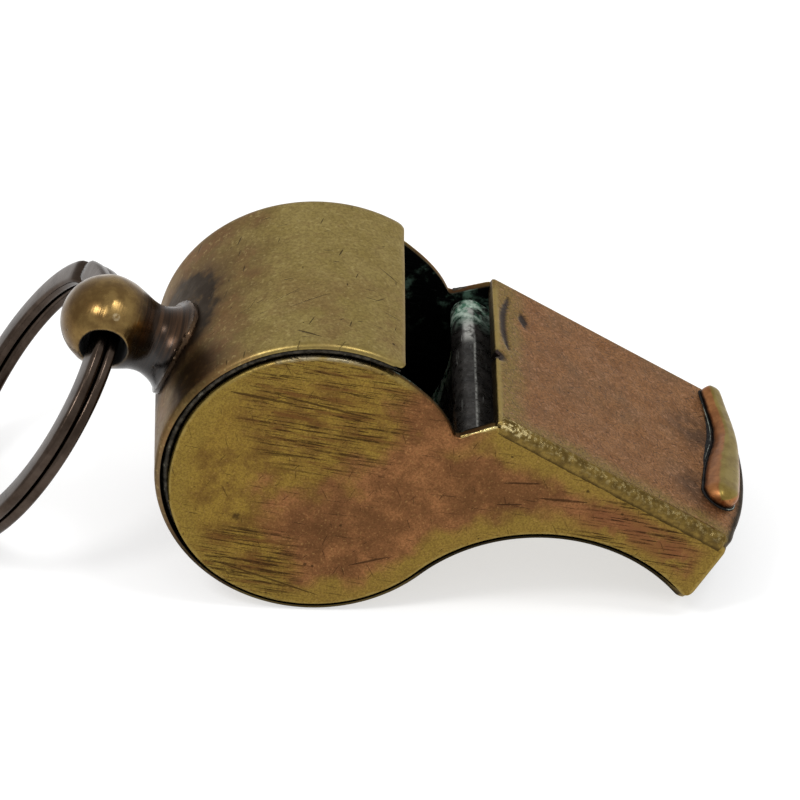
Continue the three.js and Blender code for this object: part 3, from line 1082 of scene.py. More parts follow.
class BandBrass(Finish):
    """Barrel band: even olive brass on top, coppery towards the back and nearly black round the stud, with a
    painted highlight on its rims and painted shade inside and on its lower edges.
    """

    name = Slot.BAND.value
    glance = (0.76, 0.71, 0.66, 1.0)

    @staticmethod
    def on_barrel(degrees: float, y: float) -> Place:
        """A place on the barrel."""
        angle, radius = math.radians(degrees), WhistleSizes.barrel_radius
        return math.cos(angle) * radius, y, math.sin(angle) * radius

    def dress(self) -> None:
        """Lays on its patterns."""
        b = self.bench
        x, y, z = b.split(self.place)
        turn = b.math("ARCTAN2", b.times(x, -1.0), z)
        flat = b.join(b.times(turn, WhistleSizes.barrel_radius), y)
        back = b.ease(b.plus(turn, b.noise(self.place, 0.4, 5.0), 0.9), 1.15, 1.75)
        self.colour = self.clouded(1.6, 0.36, 0.64, (150, 132, 77), (163, 145, 89))
        self.coat(b.both(self.mottled(3.4, 0.44, 0.62), b.ease(y, 5.0, -6.0)), 0.6, (134, 106, 70))
        self.coat(back, 0.85, (108, 84, 55))
        self.coat(b.both(back, self.mottled(2.2, 0.46, 0.6)), 0.55, (130, 92, 64))
        self.coat(b.ease(turn, 1.75, 2.05), 0.6, (100, 82, 70))
        self.coat(self.mottled(0.22, 0.36, 0.66), 0.44, (92, 74, 44))
        self.coat(self.mottled(0.34, 0.54, 0.68), 0.4, (190, 172, 116))
        low_stain = b.spot(self.place, self.on_barrel(172, -7.2), 1.4, 3.8)
        self.coat(b.both(low_stain, self.mottled(1.6, 0.22, 0.46)), 0.9, (44, 29, 17))
        cloud = b.times(b.minus(b.noise(self.place, 0.5, 6.0), 0.5), 3.0)
        foot = b.math("ADD", b.measure("DISTANCE", self.place, self.on_barrel(185, 1.1)), cloud)
        self.coat(b.ease(foot, 6.6, 5.0), 0.6, (78, 58, 41))
        self.coat(b.ease(foot, 5.4, 4.6), 0.95, (34, 29, 26))
        self.coat(self.mottled(0.8, 0.52, 0.68), 0.35, (116, 90, 54))
        dashes = self.scratched(
            flat,
            Scratches(75.0, 1.5, 1.3, 0.06, 0.14, 2.0),
            Scratches(12.0, 1.3, 1.4, 0.06, 0.14, 7.0),
            Scratches(40.0, 3.5, 2.0, 0.05, 0.1, 13.0),
        )
        single = self.cut(flat, Cut((7.4, -7.3), (5.75, -8.2), 0.12), Cut((1.5, 1.8), (0.05, 0.8), 0.07))
        pits = self.pitted(Pits(1.9, 0.12, 0.4, 3.0), Pits(5.0, 0.26, 0.35, 11.0))
        flaws = b.most(dashes, single, pits)
        self.coat(flaws, 0.8, (50, 40, 26))
        # Painted highlight with rim wear: gold along the band's rims, strongest on top.
        edge = b.both(self.rim_band(0.6, 0.35, 1.6), b.ease(turn, 1.3, 0.4, 0.25, 1.0))
        self.coat(edge, 0.6, (126, 108, 62))
        # Painted shade: near black on the band's inner face and lower edges.
        soot = b.mark(Mark.SOOT)
        self.cover(soot, (14, 13, 12))
        rough = b.minus(self.dulled(0.36, 1.4, 0.12), b.times(edge, 0.08))
        self.set("Roughness", b.plus(rough, soot, 0.3))
        self.worn_bump(1.4, 0.35, flaws)


class TopBrass(Finish):
    """Mouthpiece top: browned copper colour, rubbed yellow at the window and along the near seam, with
    painted shade beside the bead, on its walls and at the mouth's edge.
    """

    name = Slot.TOP.value
    glance = (0.96, 0.91, 0.85, 1.0)

    def dress(self) -> None:
        """Lays on its patterns."""
        b = self.bench
        x, y, _ = b.split(self.place)
        flat = b.join(x, y)
        self.colour = self.clouded(1.3, 0.3, 0.7, (138, 95, 59), (160, 115, 75))
        self.coat(self.mottled(4.0, 0.45, 0.65), 0.45, (126, 98, 70))
        push = b.times(b.minus(b.noise(self.place, 0.7, 5.0), 0.5), 2.6)
        window = b.ease(b.math("ADD", x, push), 11.2, 9.3)
        seam = b.ease(b.math("ADD", y, push), -6.3, -8.1)
        far = b.ease(b.plus(y, push, 0.4), 8.3, 9.2)
        rubbed = b.most(window, seam, b.times(far, 0.3))
        self.coat(rubbed, 0.85, (140, 119, 62))
        # Painted shade: darker patches on the top plate beside the tooth bead.
        bead_side_shade = b.most(b.spot(flat, (24.9, 2.6, 0.0), 0.6, 3.4), b.spot(flat, (24.6, -4.4, 0.0), 0.5, 3.0))
        self.coat(b.both(bead_side_shade, self.mottled(1.6, 0.3, 0.55)), 0.7, (62, 45, 36))
        self.coat(self.mottled(0.17, 0.4, 0.64), 0.6, (82, 56, 38))
        self.coat(self.mottled(0.28, 0.53, 0.66), 0.5, (184, 138, 104))
        hairs = self.scratched(
            flat,
            Scratches(62.0, 0.9, 0.36, 0.045, 0.45, 4.0),
            Scratches(-35.0, 0.8, 0.44, 0.045, 0.4, 9.0),
            Scratches(8.0, 2.0, 0.7, 0.035, 0.3, 14.0),
            Scratches(100.0, 0.6, 0.5, 0.04, 0.35, 19.0),
        )
        pits = self.pitted(Pits(3.0, 0.2, 0.35, 6.0), Pits(1.3, 0.1, 0.4, 16.0))
        flaws = b.most(b.times(hairs, 0.7), pits)
        self.coat(flaws, 0.8, (58, 42, 32))
        self.coat(b.both(self.rim_band(0.5, 0.25, 0.5), b.ease(y, 8.4, 7.4)), 0.7, (160, 140, 82))
        self.cover(b.mark(Mark.NICK), (52, 43, 40))
        # Painted shade: dark on the plate's edge walls and underside, and along the mouth's edge beyond the
        # bead.
        mouth = b.both(b.ease(x, 26.5, 27.2), self.rim_band(0.75, 0.2, 0.5))
        self.cover(b.most(b.times(b.mark(Mark.SOOT), 0.9), mouth), (34, 27, 20))
        self.set("Roughness", b.minus(self.dulled(0.4, 1.2, 0.14), b.times(rubbed, 0.06)))
        self.worn_bump(1.8, 0.4, flaws)


class WindwayBrass(Finish):
    """Windway floor: blackened, with pale rubbed streaks, a painted highlight along its nose, and green crust
    at its ends.
    """

    name = Slot.WINDWAY.value
    gloss = 0.25

    def dress(self) -> None:
        """Lays on its patterns."""
        b = self.bench
        x, y, z = b.split(self.place)
        streaked = b.join(b.times(x, 3.0), b.times(y, 0.35), b.times(z, 3.0))
        self.colour = self.clouded(1.2, 0.35, 0.65, (30, 28, 26), (50, 47, 44))
        streak = b.both(self.mottled(1.0, 0.58, 0.72, streaked), b.ease(y, -9.0, 3.0))
        off = b.size(b.minus(x, 7.78))
        # Painted highlight: pale line and patch along the nose's crest.
        line = b.both(b.ease(off, 0.13, 0.0), b.ease(y, 5.0, 3.5), self.mottled(0.5, 0.3, 0.75))
        nose_highlight = b.both(b.ease(b.size(b.minus(x, 7.45)), 0.42, 0.2), b.ease(y, 2.6, 4.2))
        nose_highlight = b.both(nose_highlight, self.mottled(0.8, 0.36, 0.55))
        self.cover(b.most(streak, line, nose_highlight), (164, 164, 158))
        green = b.both(b.ease(y, 4.6, 7.6), self.mottled(1.1, 0.38, 0.56))
        pale = self.clouded(0.5, 0.4, 0.62, (70, 108, 88), (176, 196, 180))
        self.colour = b.mix(green, self.colour, pale)
        self.set("Metallic", b.ease(green, 0.0, 1.0, 0.45, 0.0))
        self.set("Roughness", self.sheen(0.5, 0.24, 0.6, 0.36, 0.64))
        self.bump(b.noise(self.place, 1.5, 6.0), 0.05)


class BeadBrass(Finish):
    """Tooth bead: copper on its flanks, worn yellow on top, with painted shade along its foot."""

    name = Slot.BEAD.value

    def dress(self) -> None:
        """Lays on its patterns."""
        b = self.bench
        _, _, z = b.split(self.place)
        flank = self.clouded(0.7, 0.35, 0.65, (132, 86, 51), (160, 108, 66))
        crown = self.clouded(1.0, 0.35, 0.65, (126, 106, 54), (146, 128, 70))
        cloud = b.minus(b.noise(self.place, 1.2, 4.0), 0.5)
        self.colour = b.mix(b.ease(b.plus(b.mark(Mark.RIM), cloud, 0.2), 0.76, 0.92), flank, crown)
        # Painted shade: near black along the bead's foot.
        self.cover(b.ease(b.plus(z, cloud, 0.3), 10.98, 10.7), (36, 30, 26))
        pits = self.pitted(Pits(1.1, 0.1, 0.4, 4.0))
        self.coat(pits, 0.6, (66, 50, 30))
        self.set("Roughness", self.sheen(0.9, 0.28, 0.42))
        self.bump(b.minus(b.noise(self.place, 1.2, 4.0), pits), 0.008)


class StudBrass(Finish):
    """Ring stud: golden ball with a dull sheen, dark turned neck, a bright dented lip and a painted glint at
    the foot, and painted shade in its hole.
    """

    name = Slot.STUD.value
    dent = (-16.19, -2.5, 0.22)

    def dress(self) -> None:
        """Lays on its patterns."""
        b = self.bench
        turned = self.coordinates(self.stance.tilt + math.pi / 2 - WhistleSizes.stud_angle)
        x, y, z = b.split(turned)
        gold = self.clouded(1.2, 0.36, 0.64, (106, 83, 49), (136, 111, 67))
        rings = b.noise(b.join(b.times(x, 0.15), b.times(y, 0.15), b.times(z, 6.0)), 1.0, 3.0)
        neck = b.mix(b.ease(rings, 0.36, 0.64), srgb((50, 40, 33)), srgb((76, 57, 43)))
        under = b.ease(b.plus(x, b.noise(self.place, 0.8, 4.0), 1.6), 3.4, 0.6)
        neck = self.tint(neck, under, 0.85, (60, 60, 60))
        along = b.plus(z, b.minus(b.noise(self.place, 0.6, 5.0), 0.5), 1.6)
        lower = b.math("ADD", x, b.minus(z, along))
        shaded = b.most(b.ease(along, 16.6, 19.0), b.ease(lower, -0.4, -2.8))
        gold = self.tint(gold, shaded, 0.6, (74, 52, 27))
        self.colour = b.mix(b.ease(along, 15.3, 13.8), gold, neck)
        girth = b.math("SQRT", b.plus(b.times(x, x), y, y))
        glint = b.both(b.ease(girth, 3.05, 3.3), b.ease(z, 13.0, 12.0), self.mottled(1.2, 0.36, 0.6))
        self.coat(b.both(glint, b.ease(x, -1.5, 1.5, 0.3, 1.0)), 0.5, (112, 90, 66))
        lip = b.minus(b.spot(self.place, self.dent, 0.2, 0.32), b.spot(self.place, self.dent, 0.03, 0.14))
        self.coat(b.both(lip, self.mottled(0.3, 0.36, 0.58)), 0.5, (208, 190, 154))
        pits = self.pitted(Pits(1.6, 0.12, 0.35, 12.0))
        self.coat(pits, 0.55, (48, 38, 24))
        # Painted shade: black inside the hole for the ring.
        soot = b.mark(Mark.SOOT)
        self.cover(soot, (12, 11, 10))
        self.set("Metallic", b.minus(1.0, soot))
        self.set("Roughness", b.most(self.sheen(0.9, 0.18, 0.32), soot))
        self.bump(b.minus(b.times(rings, 0.5), pits), 0.02)


class RingMetal(Finish):
    """Split ring: dark brown-grey metal with a dull sheen, and painted shade between its turns and at its cut
    ends.
    """

    name = Slot.RING.value

    def dress(self) -> None:
        """Lays on its patterns."""
        b = self.bench
        self.colour = self.clouded(2.6, 0.34, 0.66, (55, 45, 38), (77, 66, 58))
        self.coat(self.mottled(0.3, 0.5, 0.68), 0.3, (50, 41, 35))
        # Painted shade between the turns and at the wire's cut ends.
        self.cover(b.most(b.times(b.mark(Mark.SOOT), 0.85), b.mark(Mark.NICK)), (44, 37, 32))
        self.set("Roughness", self.sheen(1.6, 0.2, 0.3))
        self.bump(b.noise(self.place, 1.3, 4.0), 0.014)


class Solder(Finish):
    """Yellow solder, rough and bright where it was left proud, with painted glints in pale specks."""

    name = "solder"
    dull, fresh, spark = (138, 116, 68), (210, 192, 132), (226, 210, 160)

    def dress(self) -> None:
        """Lays on its patterns."""
        self.colour = self.clouded(0.5, 0.36, 0.62, self.dull, self.fresh)
        # Painted glints: pale specks.
        self.coat(self.mottled(0.25, 0.58, 0.7), 0.7, self.spark)
        self.set("Roughness", self.sheen(0.4, 0.16, 0.32))
        self.bump(self.bench.noise(self.place, 4.0, 4.0), 0.05)


class PaleSolderHighlight(Solder):
    """Grey solder with a greenish cast, made pale as a painted highlight on its fillet."""

    name = "pale_solder"
    dull, fresh, spark = (78, 82, 76), (138, 146, 136), (206, 212, 200)


class SeamBrass(Finish):
    """Soldered seam of the mouthpiece: yellow, filed rough, with a painted highlight on its ridge and painted
    shade at its foot.
    """

    name = "seam_brass"
    glance = (0.8, 0.7, 0.56, 1.0)

    def dress(self) -> None:
        """Lays on its patterns."""
        b = self.bench
        x, _, z = b.split(self.place)
        self.colour = self.clouded(0.7, 0.36, 0.64, (92, 74, 38), (124, 102, 52))
        hollow = self.mottled(0.3, 0.5, 0.66)
        self.coat(hollow, 0.35, (72, 56, 32))
        # Painted highlight: pale specks on the ridge's top.
        ridge = b.ease(z, 10.1, 10.5)
        bright = b.both(self.mottled(0.3, 0.47, 0.64), ridge, b.ease(x, 11.4, 9.2, 0.22, 1.0))
        self.cover(bright, (226, 208, 152))
        # Painted shade: darker along the seam's foot.
        self.coat(b.ease(z, 10.0, 9.72), 0.7, (52, 40, 22))
        self.set("Roughness", self.sheen(0.4, 0.22, 0.4))
        self.bump(b.minus(b.noise(self.place, 2.5, 4.0), b.times(hollow, 0.5)), 0.03)


class Grime(Finish):
    """Old solder and dirt in the grooves, dark with a few pale grains."""

    name = "groove_grime"
    low, high, grains = (44, 41, 36), (76, 71, 62), (140, 136, 122)
    gloss = 0.1

    def dress(self) -> None:
        """Lays on its patterns."""
        self.colour = self.clouded(0.6, 0.4, 0.65, self.low, self.high)
        self.coat(self.mottled(0.5, 0.58, 0.7), 0.6, self.grains)
        self.set("Roughness", self.sheen(0.5, 0.4, 0.6))
        self.bump(self.bench.noise(self.place, 4.0, 4.0), 0.04)


class CrackShade(Grime):
    """Black painted shade in the crack beside the tooth bead and round its foot."""

    name = "crack_dirt"
    low, high, grains = (14, 13, 13), (26, 24, 23), (60, 60, 56)
    metal = 0.0


class Cork(Finish):
    """Cork pea: warm brown with dark pores."""

    name = Slot.PEA.value
    metal = 0.0

    def dress(self) -> None:
        """Lays on its patterns."""
        b = self.bench
        self.colour = self.clouded(1.4, 0.36, 0.64, (136, 98, 62), (172, 132, 88))
        pores = self.pitted(Pits(1.0, 0.16, 0.5, 2.0), Pits(2.4, 0.4, 0.35, 8.0))
        self.coat(pores, 0.8, (74, 46, 28))
        self.set("Roughness", self.sheen(0.8, 0.75, 0.95))
        self.bump(b.minus(b.noise(self.place, 2.0, 5.0), pores), 0.08)


@dataclass(frozen=True)
class Label:
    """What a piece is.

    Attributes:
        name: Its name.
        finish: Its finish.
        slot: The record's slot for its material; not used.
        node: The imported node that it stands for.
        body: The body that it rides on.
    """

    name: str
    finish: type[Finish]
    slot: Slot
    node: str | None = None
    body: Body = Body.WHISTLE


class Workshop:
    """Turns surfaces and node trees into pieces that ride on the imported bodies."""

    def __init__(self, stance: Stance) -> None:
        """Takes where the whistle stands."""
        self.stance = stance
        self.effects = Effects()
        self.materials: dict[type[Finish], bpy.types.Material] = {}

    def material(self, finish: type[Finish]) -> bpy.types.Material:
        """Gives a finish's material, which is made once.

        Args:
            finish: The finish.

        Returns:
            The material.
        """
        if finish not in self.materials:
            self.materials[finish] = finish(self.effects, self.stance).material
        return self.materials[finish]

    def piece(self, label: Label, surface: Surface) -> None:
        """Makes a piece from a surface in the playing frame.

        Args:
            label: What the piece is.
            surface: Its mesh in millimetres.
        """
        mesh = bpy.data.meshes.new(label.name)
        mesh.from_pydata(surface.points.tolist(), [], surface.faces)
        for mark, values in surface.marks.items():
            layer = mesh.attributes.new(mark.value, "FLOAT", "POINT")
            layer.data.foreach_set("value", values.astype(np.float32))
        self.mount(label, mesh, self.stance.matrix)

    def mount(self, label: Label, mesh: Mesh, matrix: Matrix) -> None:
        """Puts a mesh in its place and hands it to its body.

        Args:
            label: What the piece is.
            mesh: The mesh, in millimetres.
            matrix: From the mesh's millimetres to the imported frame.
        """
        mesh.transform(matrix)
        work = bmesh.new()
        work.from_mesh(mesh)
        bmesh.ops.recalc_face_normals(work, faces=work.faces)
        work.to_mesh(mesh)
        work.free()
        mesh.shade_smooth()
        mesh.set_sharp_from_angle(angle=CREASE)
        mesh.materials.clear()
        mesh.materials.append(self.material(label.finish))
        made = bpy.data.objects.new(label.name, mesh)
        bpy.context.scene.collection.objects.link(made)
        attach(made, label.body.value)
        if label.node:
            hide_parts(label.node)
        triangles = sum(len(p.vertices) - 2 for p in mesh.polygons)
        log.info("%s: %d triangles on %s", label.name, triangles, label.body.value)

    def grow(self, label: Label, tree: Tree, base: Mesh, values: Feeds) -> Mesh:
        """Runs a Geometry Nodes tree and keeps its result as a plain mesh.

        Args:
            label: What the mesh is for.
            tree: The tree.
            base: The mesh that it starts from.
            values: Values for the tree's named inputs.

        Returns:
            The mesh, in the tree's own millimetres.
        """
        values = values | {"Material": self.material(label.finish)}
        carrier = bpy.data.objects.new(tree.name, base)
        bpy.context.scene.collection.objects.link(carrier)
        modifier = carrier.modifiers.new(tree.name, "NODES")
        modifier.node_group = tree
        for item in tree.interface.items_tree:
            if item.item_type == "SOCKET" and item.in_out == "INPUT" and item.name in values:
                modifier[item.identifier] = values[item.name]
        graph = bpy.context.evaluated_depsgraph_get()
        grown = bpy.data.meshes.new_from_object(carrier.evaluated_get(graph), depsgraph=graph)
        carrier.modifiers.remove(modifier)
        bpy.data.objects.remove(carrier)
        return grown


class NodeTrees:
    """The Geometry Nodes trees for what follows a path."""

    def __init__(self) -> None:
        """Builds the trees."""
        self.split_ring = self._split_ring()
        self.solder_run = self._solder_run()

    @staticmethod
    def _open(name: str, sizes: dict[str, float | int]) -> tuple[Bench, list[Socket]]:
        """Starts a tree.

        Args:
            name: The tree's name.
            sizes: Named sizes with their usual values.

        Returns:
            The bench for the tree, and its input sockets: the geometry, the sizes and the material.
        """
        inputs = {"Geometry": "Geometry", **sizes, "Material": "Material"}
        bench, given = Bench.opened("GeometryNodeTree", name, inputs, ("Geometry", "Geometry"))
        bench.tree.is_modifier = True
        return bench, given

    @staticmethod
    def _close(bench: Bench, shape: Socket, material: Socket) -> Tree:
        """Realizes the shape, gives it its material and sends it out.

        Args:
            bench: The tree's bench.
            shape: The shape.
            material: Its material.

        Returns:
            The tree.
        """
        plain = bench.out("GeometryNodeRealizeInstances", {"Geometry": shape})
        dressed = bench.out("GeometryNodeSetMaterial", {"Geometry": plain, "Material": material})
        bench.add("NodeGroupOutput", {"Geometry": dressed})
        return bench.tree

    @staticmethod
    def _store(bench: Bench, shape: Socket, mark: Mark, value: Feed) -> Socket:
        """Stores a mark at the shape's points."""
        feeds = {"Geometry": shape, "Name": mark.value, "Value": value}
        return bench.out("GeometryNodeStoreNamedAttribute", feeds, data_type="FLOAT", domain="POINT")

    @staticmethod
    def _moved(bench: Bench, shape: Socket, offset: Socket) -> Socket:
        """Moves the shape's points."""
        return bench.out("GeometryNodeSetPosition", {"Geometry": shape, "Offset": offset})

    @staticmethod
    def _swept(bench: Bench, path: Socket, section: Socket, scale: Socket) -> Socket:
        """Sweeps a section along a path, with closed ends."""
        feeds = {"Curve": path, "Profile Curve": section, "Scale": scale, "Fill Caps": True}
        return bench.out("GeometryNodeCurveToMesh", feeds)

    @staticmethod
    def _from_end(bench: Bench, share: Socket) -> Socket:
        """How far a place on a path is from the nearer end, as a share of the path."""
        return bench.minus(0.5, bench.size(bench.minus(share, 0.5)))

    @staticmethod
    def _wander(bench: Bench, spot: Socket, seed: Socket, scale: Feed, detail: float) -> Socket:
        """Cloudy noise of a seed, about zero."""
        feeds = {"Vector": spot, "W": seed, "Scale": scale, "Detail": detail}
        return bench.minus(bench.out("ShaderNodeTexNoise", feeds, noise_dimensions="4D"), 0.5)

    def _split_ring(self) -> Tree:
        """Winds a flattened wire twice round the Z axis, with a jog half way from one turn to the next.

        Returns:
            The tree.
        """
        sizes = {
            "Radius": 9.85, "Turns": 1.9, "Layer Offset": 0.45, "Jog Share": 0.044, "Wire Width": 1.7,
            "Wire Thickness": 0.86, "Edge Round": 0.24, "Crown": 0.12, "End Share": 0.006, "Unevenness": 0.03,
            "Seed": 4,
        }
        bench, given = self._open("Split Ring", sizes)
        _, radius, turns, layer, jog, width, thickness, edge, crown, end, uneven, seed, material = given
        feeds = {"Resolution": 150, "Rotations": turns, "Start Radius": radius, "End Radius": radius}
        wire = bench.out("GeometryNodeCurveSpiral", feeds | {"Height": 0.0, "Reverse": True})
        share = bench.out("GeometryNodeSplineParameter")
        half = bench.times(jog, 0.5)
        below = bench.times(layer, -1.0)
        climb = bench.ease(share, bench.minus(0.5, half), bench.math("ADD", 0.5, half), below, layer)
        spot = bench.out("GeometryNodeInputPosition")
        sway = bench.times(self._wander(bench, spot, seed, 0.16, 1.0), uneven)
        wire = self._moved(bench, wire, bench.join(0.0, 0.0, bench.math("ADD", climb, sway)))
        wire = bench.out("GeometryNodeSetCurveNormal", {"Curve": wire}, mode="Z_UP")
        from_end = self._from_end(bench, share)
        taper = bench.ease(from_end, 0.0, end, 0.72, 1.0)
        # Painted shade at the wire's cut ends.
        wire = self._store(bench, wire, Mark.NICK, bench.ease(from_end, 0.006, 0.001))
        section = bench.out("GeometryNodeCurvePrimitiveQuadrilateral", {"Width": width, "Height": thickness})
        feeds = {"Curve": section, "Count": 7, "Radius": edge}
        section = bench.out("GeometryNodeFilletCurve", feeds, mode="POLY")
        section = bench.out("GeometryNodeResampleCurve", {"Curve": section, "Count": 40}, mode="COUNT")
        across, thick, _ = bench.split(bench.out("GeometryNodeInputPosition"))
        outward = bench.over(bench.times(across, 2.0), width)
        hollow = bench.times(bench.times(outward, outward), crown)
        section = self._moved(bench, section, bench.join(0.0, bench.times(thick, bench.times(hollow, -1.0))))
        solid = self._swept(bench, wire, section, taper)
        _, _, height = bench.split(bench.out("GeometryNodeInputPosition"))
        # Painted shade between the two turns.
        solid = self._store(bench, solid, Mark.SOOT, bench.ease(bench.size(height), 0.12, 0.02))
        return self._close(bench, solid, material)

    def _solder_run(self) -> Tree:
        """Lays a lumpy fillet of solder along the edges of the mesh that it is given.

        Returns:
            The tree.
        """
        sizes = {"Bead Radius": 0.2, "Lumps": 0.4, "Lump Length": 0.9, "End Share": 0.02}
        bench, given = self._open("Solder Run", sizes | {"Grain": 0.03, "Seed": 1})
        edges, radius, lumps, length, end, grain, seed, material = given
        path = bench.out("GeometryNodeMeshToCurve", {"Mesh": edges})
        path = bench.out("GeometryNodeResampleCurve", {"Curve": path, "Length": 0.09}, mode="LENGTH")
        spot = bench.out("GeometryNodeInputPosition")
        swell = self._wander(bench, spot, seed, bench.over(1.0, length), 3.0)
        swell = bench.times(swell, bench.times(lumps, 2.0))
        from_end = self._from_end(bench, bench.out("GeometryNodeSplineParameter"))
        ends = bench.ease(from_end, 0.0, end, 0.25, 1.0)
        girth = bench.times(radius, bench.times(ends, bench.math("ADD", 1.0, swell)))
        section = bench.out("GeometryNodeCurvePrimitiveCircle", {"Resolution": 12, "Radius": 1.0})
        solid = self._swept(bench, path, section, girth)
        push = bench.times(self._wander(bench, spot, seed, 3.0, 2.0), bench.times(grain, 2.0))
        facing = bench.out("GeometryNodeInputNormal")
        offset = bench.out("ShaderNodeVectorMath", {"Vector": facing, "Scale": push}, operation="SCALE")
        return self._close(bench, self._moved(bench, solid, offset), material)


@dataclass
class Chamber:
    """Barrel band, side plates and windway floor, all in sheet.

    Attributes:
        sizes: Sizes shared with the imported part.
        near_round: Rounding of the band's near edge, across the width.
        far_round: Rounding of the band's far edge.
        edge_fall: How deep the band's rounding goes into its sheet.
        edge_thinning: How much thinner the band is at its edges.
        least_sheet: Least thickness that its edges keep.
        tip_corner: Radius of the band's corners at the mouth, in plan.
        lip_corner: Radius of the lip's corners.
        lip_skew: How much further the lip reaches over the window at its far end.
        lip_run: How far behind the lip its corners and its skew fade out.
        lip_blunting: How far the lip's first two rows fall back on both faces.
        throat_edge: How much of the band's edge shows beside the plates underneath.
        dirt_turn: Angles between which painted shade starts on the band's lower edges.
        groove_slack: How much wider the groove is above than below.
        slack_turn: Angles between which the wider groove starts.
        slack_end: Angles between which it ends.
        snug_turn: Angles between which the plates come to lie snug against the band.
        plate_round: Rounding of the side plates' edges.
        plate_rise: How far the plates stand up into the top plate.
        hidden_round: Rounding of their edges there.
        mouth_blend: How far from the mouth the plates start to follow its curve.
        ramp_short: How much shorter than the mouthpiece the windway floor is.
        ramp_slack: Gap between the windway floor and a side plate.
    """

    sizes: WhistleSizes
    near_round: float = 0.6
    far_round: float = 0.85
    edge_fall: float = 0.36
    edge_thinning: float = 0.2
    least_sheet: float = 0.02
    tip_corner: float = 2.2
    lip_corner: float = 0.6
    lip_skew: float = 0.2
    lip_run: float = 2.5
    lip_blunting: Point = (0.12, 0.03)
    throat_edge: float = 0.46
    dirt_turn: Point = (math.radians(222), math.radians(250))
    groove_slack: float = 0.2
    slack_turn: Point = (math.radians(56), math.radians(80))
    slack_end: Point = (3.4, 3.9)
    snug_turn: Point = (math.radians(205), math.radians(262))
    plate_round: float = 0.3
    plate_rise: float = 0.28
    hidden_round: float = 0.08
    mouth_blend: float = 0.3
    ramp_short: float = 0.4
    ramp_slack: float = 0.02

    def band(self) -> Surface:
        """Builds the barrel wall from the lip round to the throat, then the mouthpiece's underside.

        Returns:
            The band.
        """
        s = self.sizes
        half = s.half_width
        y, fall = self._band_section()
        inward = half - np.abs(y)
        barrel = np.linspace(s.lip_angle, math.tau + s.tangent_angle, 231)
        share = np.linspace(0, 1, 77)[1:, None]
        leave = math.pi + s.tangent_angle
        tip = s.mouth_x(y) - corner_cut(self.tip_corner, inward)
        reach = np.arccos((tip - s.throat_x) / s.throat_radius)
        throat = leave + (reach[None, :] - leave) * share
        turn = np.concatenate([np.repeat(barrel[:, None], len(y), axis=1), throat])
        rows = len(turn)
        bent = np.arange(rows) >= len(barrel)
        centre = np.where(bent[:, None], [s.throat_x, s.throat_height], [0.0, 0.0])
        radius = np.where(bent, s.throat_radius, s.barrel_radius)
        outward = np.where(bent, -1.0, 1.0)[:, None, None] * np.stack([np.cos(turn), np.sin(turn)], axis=-1)
        recess = corner_cut(self.lip_corner, inward) - self.lip_skew * (y + half) / (2 * half)
        travel = np.concatenate([(barrel - s.lip_angle) * s.barrel_radius, 50 + 18 * share[:, 0]])
        shift = (1 - smooth_share(travel, 0, self.lip_run))[:, None] * recess[None, :] / s.barrel_radius
        way = np.stack([np.cos(turn + shift), np.sin(turn + shift)], axis=-1)
        place = centre[:, None, :] + radius[:, None, None] * way
        blunt = np.zeros((rows, 1))
        blunt[:2, 0] = self.lip_blunting
        wave = np.column_stack([np.repeat(travel, len(y)), np.tile(y, rows)])
        dent = (ripple(wave, 7.0, 3) * DENT).reshape(rows, len(y)) * smooth_share(inward, 0.0, 2.0)
        thinned = self.edge_thinning * smooth_share(np.abs(y), half - 1.2, half - 0.3)
        inner_depth = blunt + thinned - s.band_sheet
        outer_depth = np.maximum(-fall - blunt + np.minimum(dent, 0), inner_depth + self.least_sheet)
        loops = []
        for depth in (outer_depth, inner_depth):
            flat = place + depth[..., None] * outward
            loops.append(np.stack([flat[..., 0], np.broadcast_to(y, depth.shape), flat[..., 1]], axis=-1))
        ring = np.concatenate([loops[0], loops[1][:, ::-1]], axis=1)
        ring[..., 0] = np.minimum(ring[..., 0], s.mouth_x(ring[..., 1]))
        rim = np.minimum(inward, travel[:, None] * 1.6)
        # Painted shade: the band's lower edges and its inner face are darkened in the colour.
        under = smooth_share(turn[:, :1], *self.dirt_turn)
        under[bent] = 1
        spared = np.where(bent, 0.06, 0.3)[:, None] * smooth_share(-inward, -0.2, -0.05)
        dirt = 0.97 * under * smooth_share(-inward, -0.7, -0.45) * (1 - spared)
        inner_shade = np.ones_like(rim)
        inner_shade[-3:] = 0.5
        marks = {
            Mark.RIM: np.concatenate([rim, np.full_like(rim, 3.0)], axis=1).ravel(),
            Mark.SOOT: np.concatenate([dirt, inner_shade], axis=1).ravel(),
        }
        return Surface.tube(ring, marks)

    def _band_section(self) -> tuple[Array, Array]:
        """Draws the band's outer face across its width.

        Returns:
            Places across the width, and how far each falls below the face.
        """
        half = self.sizes.half_width
        turn = np.linspace(0, math.pi / 2, 9)
        near = -half + self.near_round * (1 - np.sin(turn[::-1]))
        far = half - self.far_round * (1 - np.sin(turn))
        middle = np.linspace(near[-1], far[0], 54)[1:-1]
        fall = self.edge_fall * (1 - np.cos(turn))
        return np.concatenate([near, middle, far]), np.concatenate([fall[::-1], np.zeros(len(middle)), fall])

